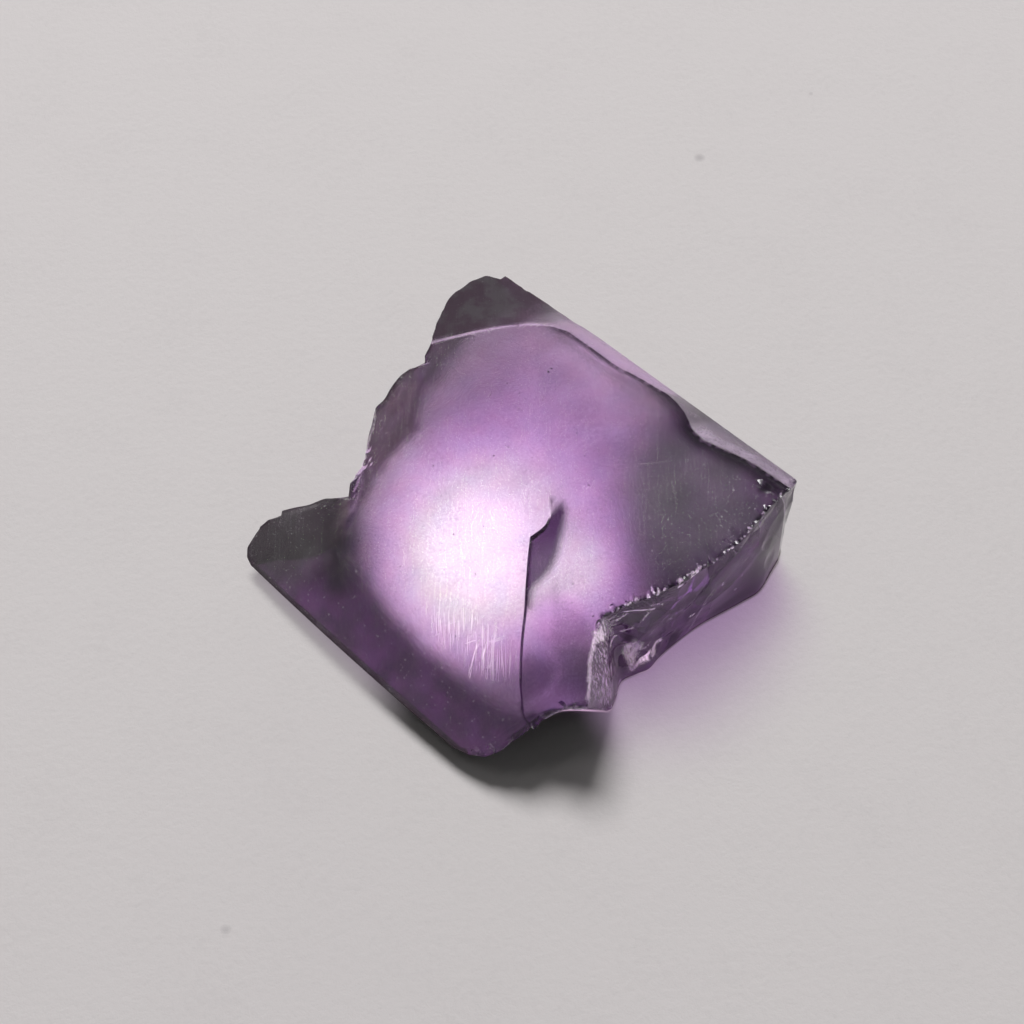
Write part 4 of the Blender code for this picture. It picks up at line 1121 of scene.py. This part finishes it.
def crystalMaterial(speckNodes):
    material = bpy.data.materials.new("purpleCrystal")
    material.use_nodes = True
    tree = material.node_tree
    at = {name: attribute(tree, name) for name in ("skin", "sawn", "frosted", "fresh", "shadeAndMottle")}
    at["place"] = attribute(tree, "stonePlace", "Vector")
    at["clean"] = timesPlus(tree, at["shadeAndMottle"], look["lessMarksInShade"], 1.0)
    scratched = scratchShare(tree, at)

    shader = feed(tree, tree.nodes["Principled BSDF"], **{
        "Base Color": crystalColour(tree, at, speckNodes), "Roughness": crystalRoughness(tree, at),
        "Normal": crystalNormal(tree, at, scratched), "Transmission Weight": 1.0, "IOR": look["ior"],
    })
    dustTone = blend(tree, patches(tree, at["place"], *look["dustPatches"]), look["dust"], look["greyDust"])
    dustAndSheen = plainShader(tree, "ShaderNodeBsdfDiffuse", dustTone)
    white = plainShader(tree, "ShaderNodeBsdfDiffuse", look["white"])
    glow = plainShader(tree, "ShaderNodeBsdfTranslucent", look["glow"])
    shadeCoat = plainShader(tree, "ShaderNodeBsdfDiffuse", shadeCoatColour(tree, at))
    clear = plainShader(tree, "ShaderNodeBsdfTransparent", attribute(tree, "lampLight", "Color"))

    body = mixed(tree, dustAndSheenShare(tree, at, speckNodes), shader.outputs[0], dustAndSheen)
    # Painted glints, frosted crumbs and white scratches show as a white, glowing layer.
    body = mixed(tree, glintAndFrostShare(tree, at, scratched), body, mixed(tree, look["glowShare"], white, glow))
    # The painted shade coat covers the crystal where its mask is on.
    body = mixed(tree, attribute(tree, "paintedShadeCoat"), body, shadeCoat)
    path = addNode(tree, "ShaderNodeLightPath")
    for ray in ("Is Shadow Ray", "Is Diffuse Ray"):
        body = mixed(tree, path.outputs[ray], body, clear)
    volume = addNode(tree, "ShaderNodeVolumeAbsorption")
    feed(tree, volume, Color=look["purple"], Density=look["density"])
    feed(tree, tree.nodes["Material Output"], Surface=body, Volume=volume.outputs[0])
    print("crystal material", len(tree.nodes), "nodes")
    return material


sheet = {
    "half": 0.4, "gap": 0.00003, "pale": (0.80, 0.758, 0.758), "fleck": (0.50, 0.47, 0.48), "rough": 0.9,
    "fibres": (2600.0, 3.0, 0.7), "fibreShare": 0.30, "broad": (260.0, 3.0, 0.6), "broadShare": 0.22,
    "least": -0.26, "flecks": (330.0, 0.11, 0.10), "fleckShare": 0.55, "bump": 0.02,
}


def paperFloor(speckNodes):
    half = sheet["half"]
    mesh = bpy.data.meshes.new("paper")
    corners = [(-half, -half, 0), (half, -half, 0), (half, half, 0), (-half, half, 0)]
    mesh.from_pydata(corners, [], [(0, 1, 2, 3)])
    paper = bpy.data.objects.new("paper", mesh)
    paper.location = (0.0, 0.0, -sheet["gap"])
    bpy.context.scene.collection.objects.link(paper)
    material = bpy.data.materials.new("palePaper")
    material.use_nodes = True
    tree = material.node_tree
    where = addNode(tree, "ShaderNodeTexCoord").outputs["Object"]
    fibres, broad = noise(tree, where, *sheet["fibres"]), noise(tree, where, *sheet["broad"])
    flecks = specks(tree, speckNodes, where, *sheet["flecks"])
    share = timesPlus(tree, broad, sheet["broadShare"], sheet["least"])
    share = timesPlus(tree, fibres, sheet["fibreShare"], share)
    share = timesPlus(tree, flecks, sheet["fleckShare"], share, clamp=True)
    tone = blend(tree, share, sheet["pale"], sheet["fleck"])
    normal = bumped(tree, plus(tree, fibres, broad), sheet["bump"])
    shader = tree.nodes["Principled BSDF"]
    feed(tree, shader, **{"Base Color": tone, "Roughness": sheet["rough"], "Normal": normal})
    mesh.materials.append(material)
    print("paper")


# Each lamp: the way to it, how far it is, its size, the way of its long side, and its power. A lamp
# with no sheen isn't mirrored, and one with no fill lights nothing matt.
lamps = {
    "shadeLamp": {"way": (-0.14, 0.62, 0.77), "far": 0.8, "size": (0.34, 0.34), "long": (1.0, 0.0, 0.0),
                  "power": 5.35, "sheen": False},
    "keySoftbox": {"way": (-0.496, 0.078, 0.865), "far": 0.6, "size": (0.06, 0.30), "long": (0.7, 0.7, 0.0),
                   "power": 0.11},
    "highSoftbox": {"way": (0.0, 0.574, 0.819), "far": 0.9, "size": (0.55, 0.55), "long": (1.0, 0.0, 0.0),
                    "power": 0.26},
    "lowSoftbox": {"way": (0.36, 0.93, 0.12), "far": 0.7, "size": (0.20, 0.70), "long": (0.93, -0.36, 0.0),
                   "power": 0.55},
    "glintCard": {"way": (0.65, -0.17, 0.75), "far": 0.6, "size": (0.28, 0.28), "long": (0.7, 0.7, 0.0),
                  "power": 2.4, "fill": False},
}
room = {"tone": (1.0, 0.99, 0.985, 1.0), "strength": 0.055}
view = {"lens": 85.0, "sensor": 36.0, "far": 0.110, "rise": math.radians(55.0),
        "aim": (-0.000288, 0.001958, 0.0), "clip": 0.005}


def addLamp(name, spec):
    lamp = bpy.data.lights.new(name, "AREA")
    lamp.shape = "ELLIPSE"
    lamp.size, lamp.size_y = spec["size"]
    lamp.energy = spec["power"]
    thing = bpy.data.objects.new(name, lamp)
    way = Vector(spec["way"]).normalized()
    thing.location = way * spec["far"]
    shortWay = Vector(spec["long"]).cross(way).normalized()
    thing.visible_glossy = thing.visible_transmission = spec.get("sheen", True)
    thing.visible_diffuse = spec.get("fill", True)
    thing.rotation_euler = Matrix((shortWay, way.cross(shortWay), way)).transposed().to_euler()
    bpy.context.scene.collection.objects.link(thing)


def lightsAndCamera():
    scene = bpy.context.scene
    scene.world = bpy.data.worlds.new("paleRoom")
    scene.world.use_nodes = True
    background = scene.world.node_tree.nodes["Background"]
    background.inputs["Color"].default_value = room["tone"]
    background.inputs["Strength"].default_value = room["strength"]
    for name, spec in lamps.items():
        addLamp(name, spec)
    camera = bpy.data.cameras.new("camera")
    camera.lens = view["lens"]
    camera.sensor_width = view["sensor"]
    camera.clip_start = view["clip"]
    eye = bpy.data.objects.new("camera", camera)
    back = Vector((0.0, -math.cos(view["rise"]), math.sin(view["rise"])))
    eye.location = Vector(view["aim"]) + view["far"] * back
    eye.rotation_euler = back.to_track_quat("Z", "Y").to_euler()
    scene.collection.objects.link(eye)
    scene.camera = eye
    scene.view_settings.view_transform = "Standard"
    print("lamps", sorted(lamps))


crystal = stoneObject()
speckNodes = speckGroup()
crystal.data.materials.append(crystalMaterial(speckNodes))
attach(crystal, "root")
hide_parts("alexandrite_crystal")
paperFloor(speckNodes)
lightsAndCamera()
bpy.context.view_layer.update()
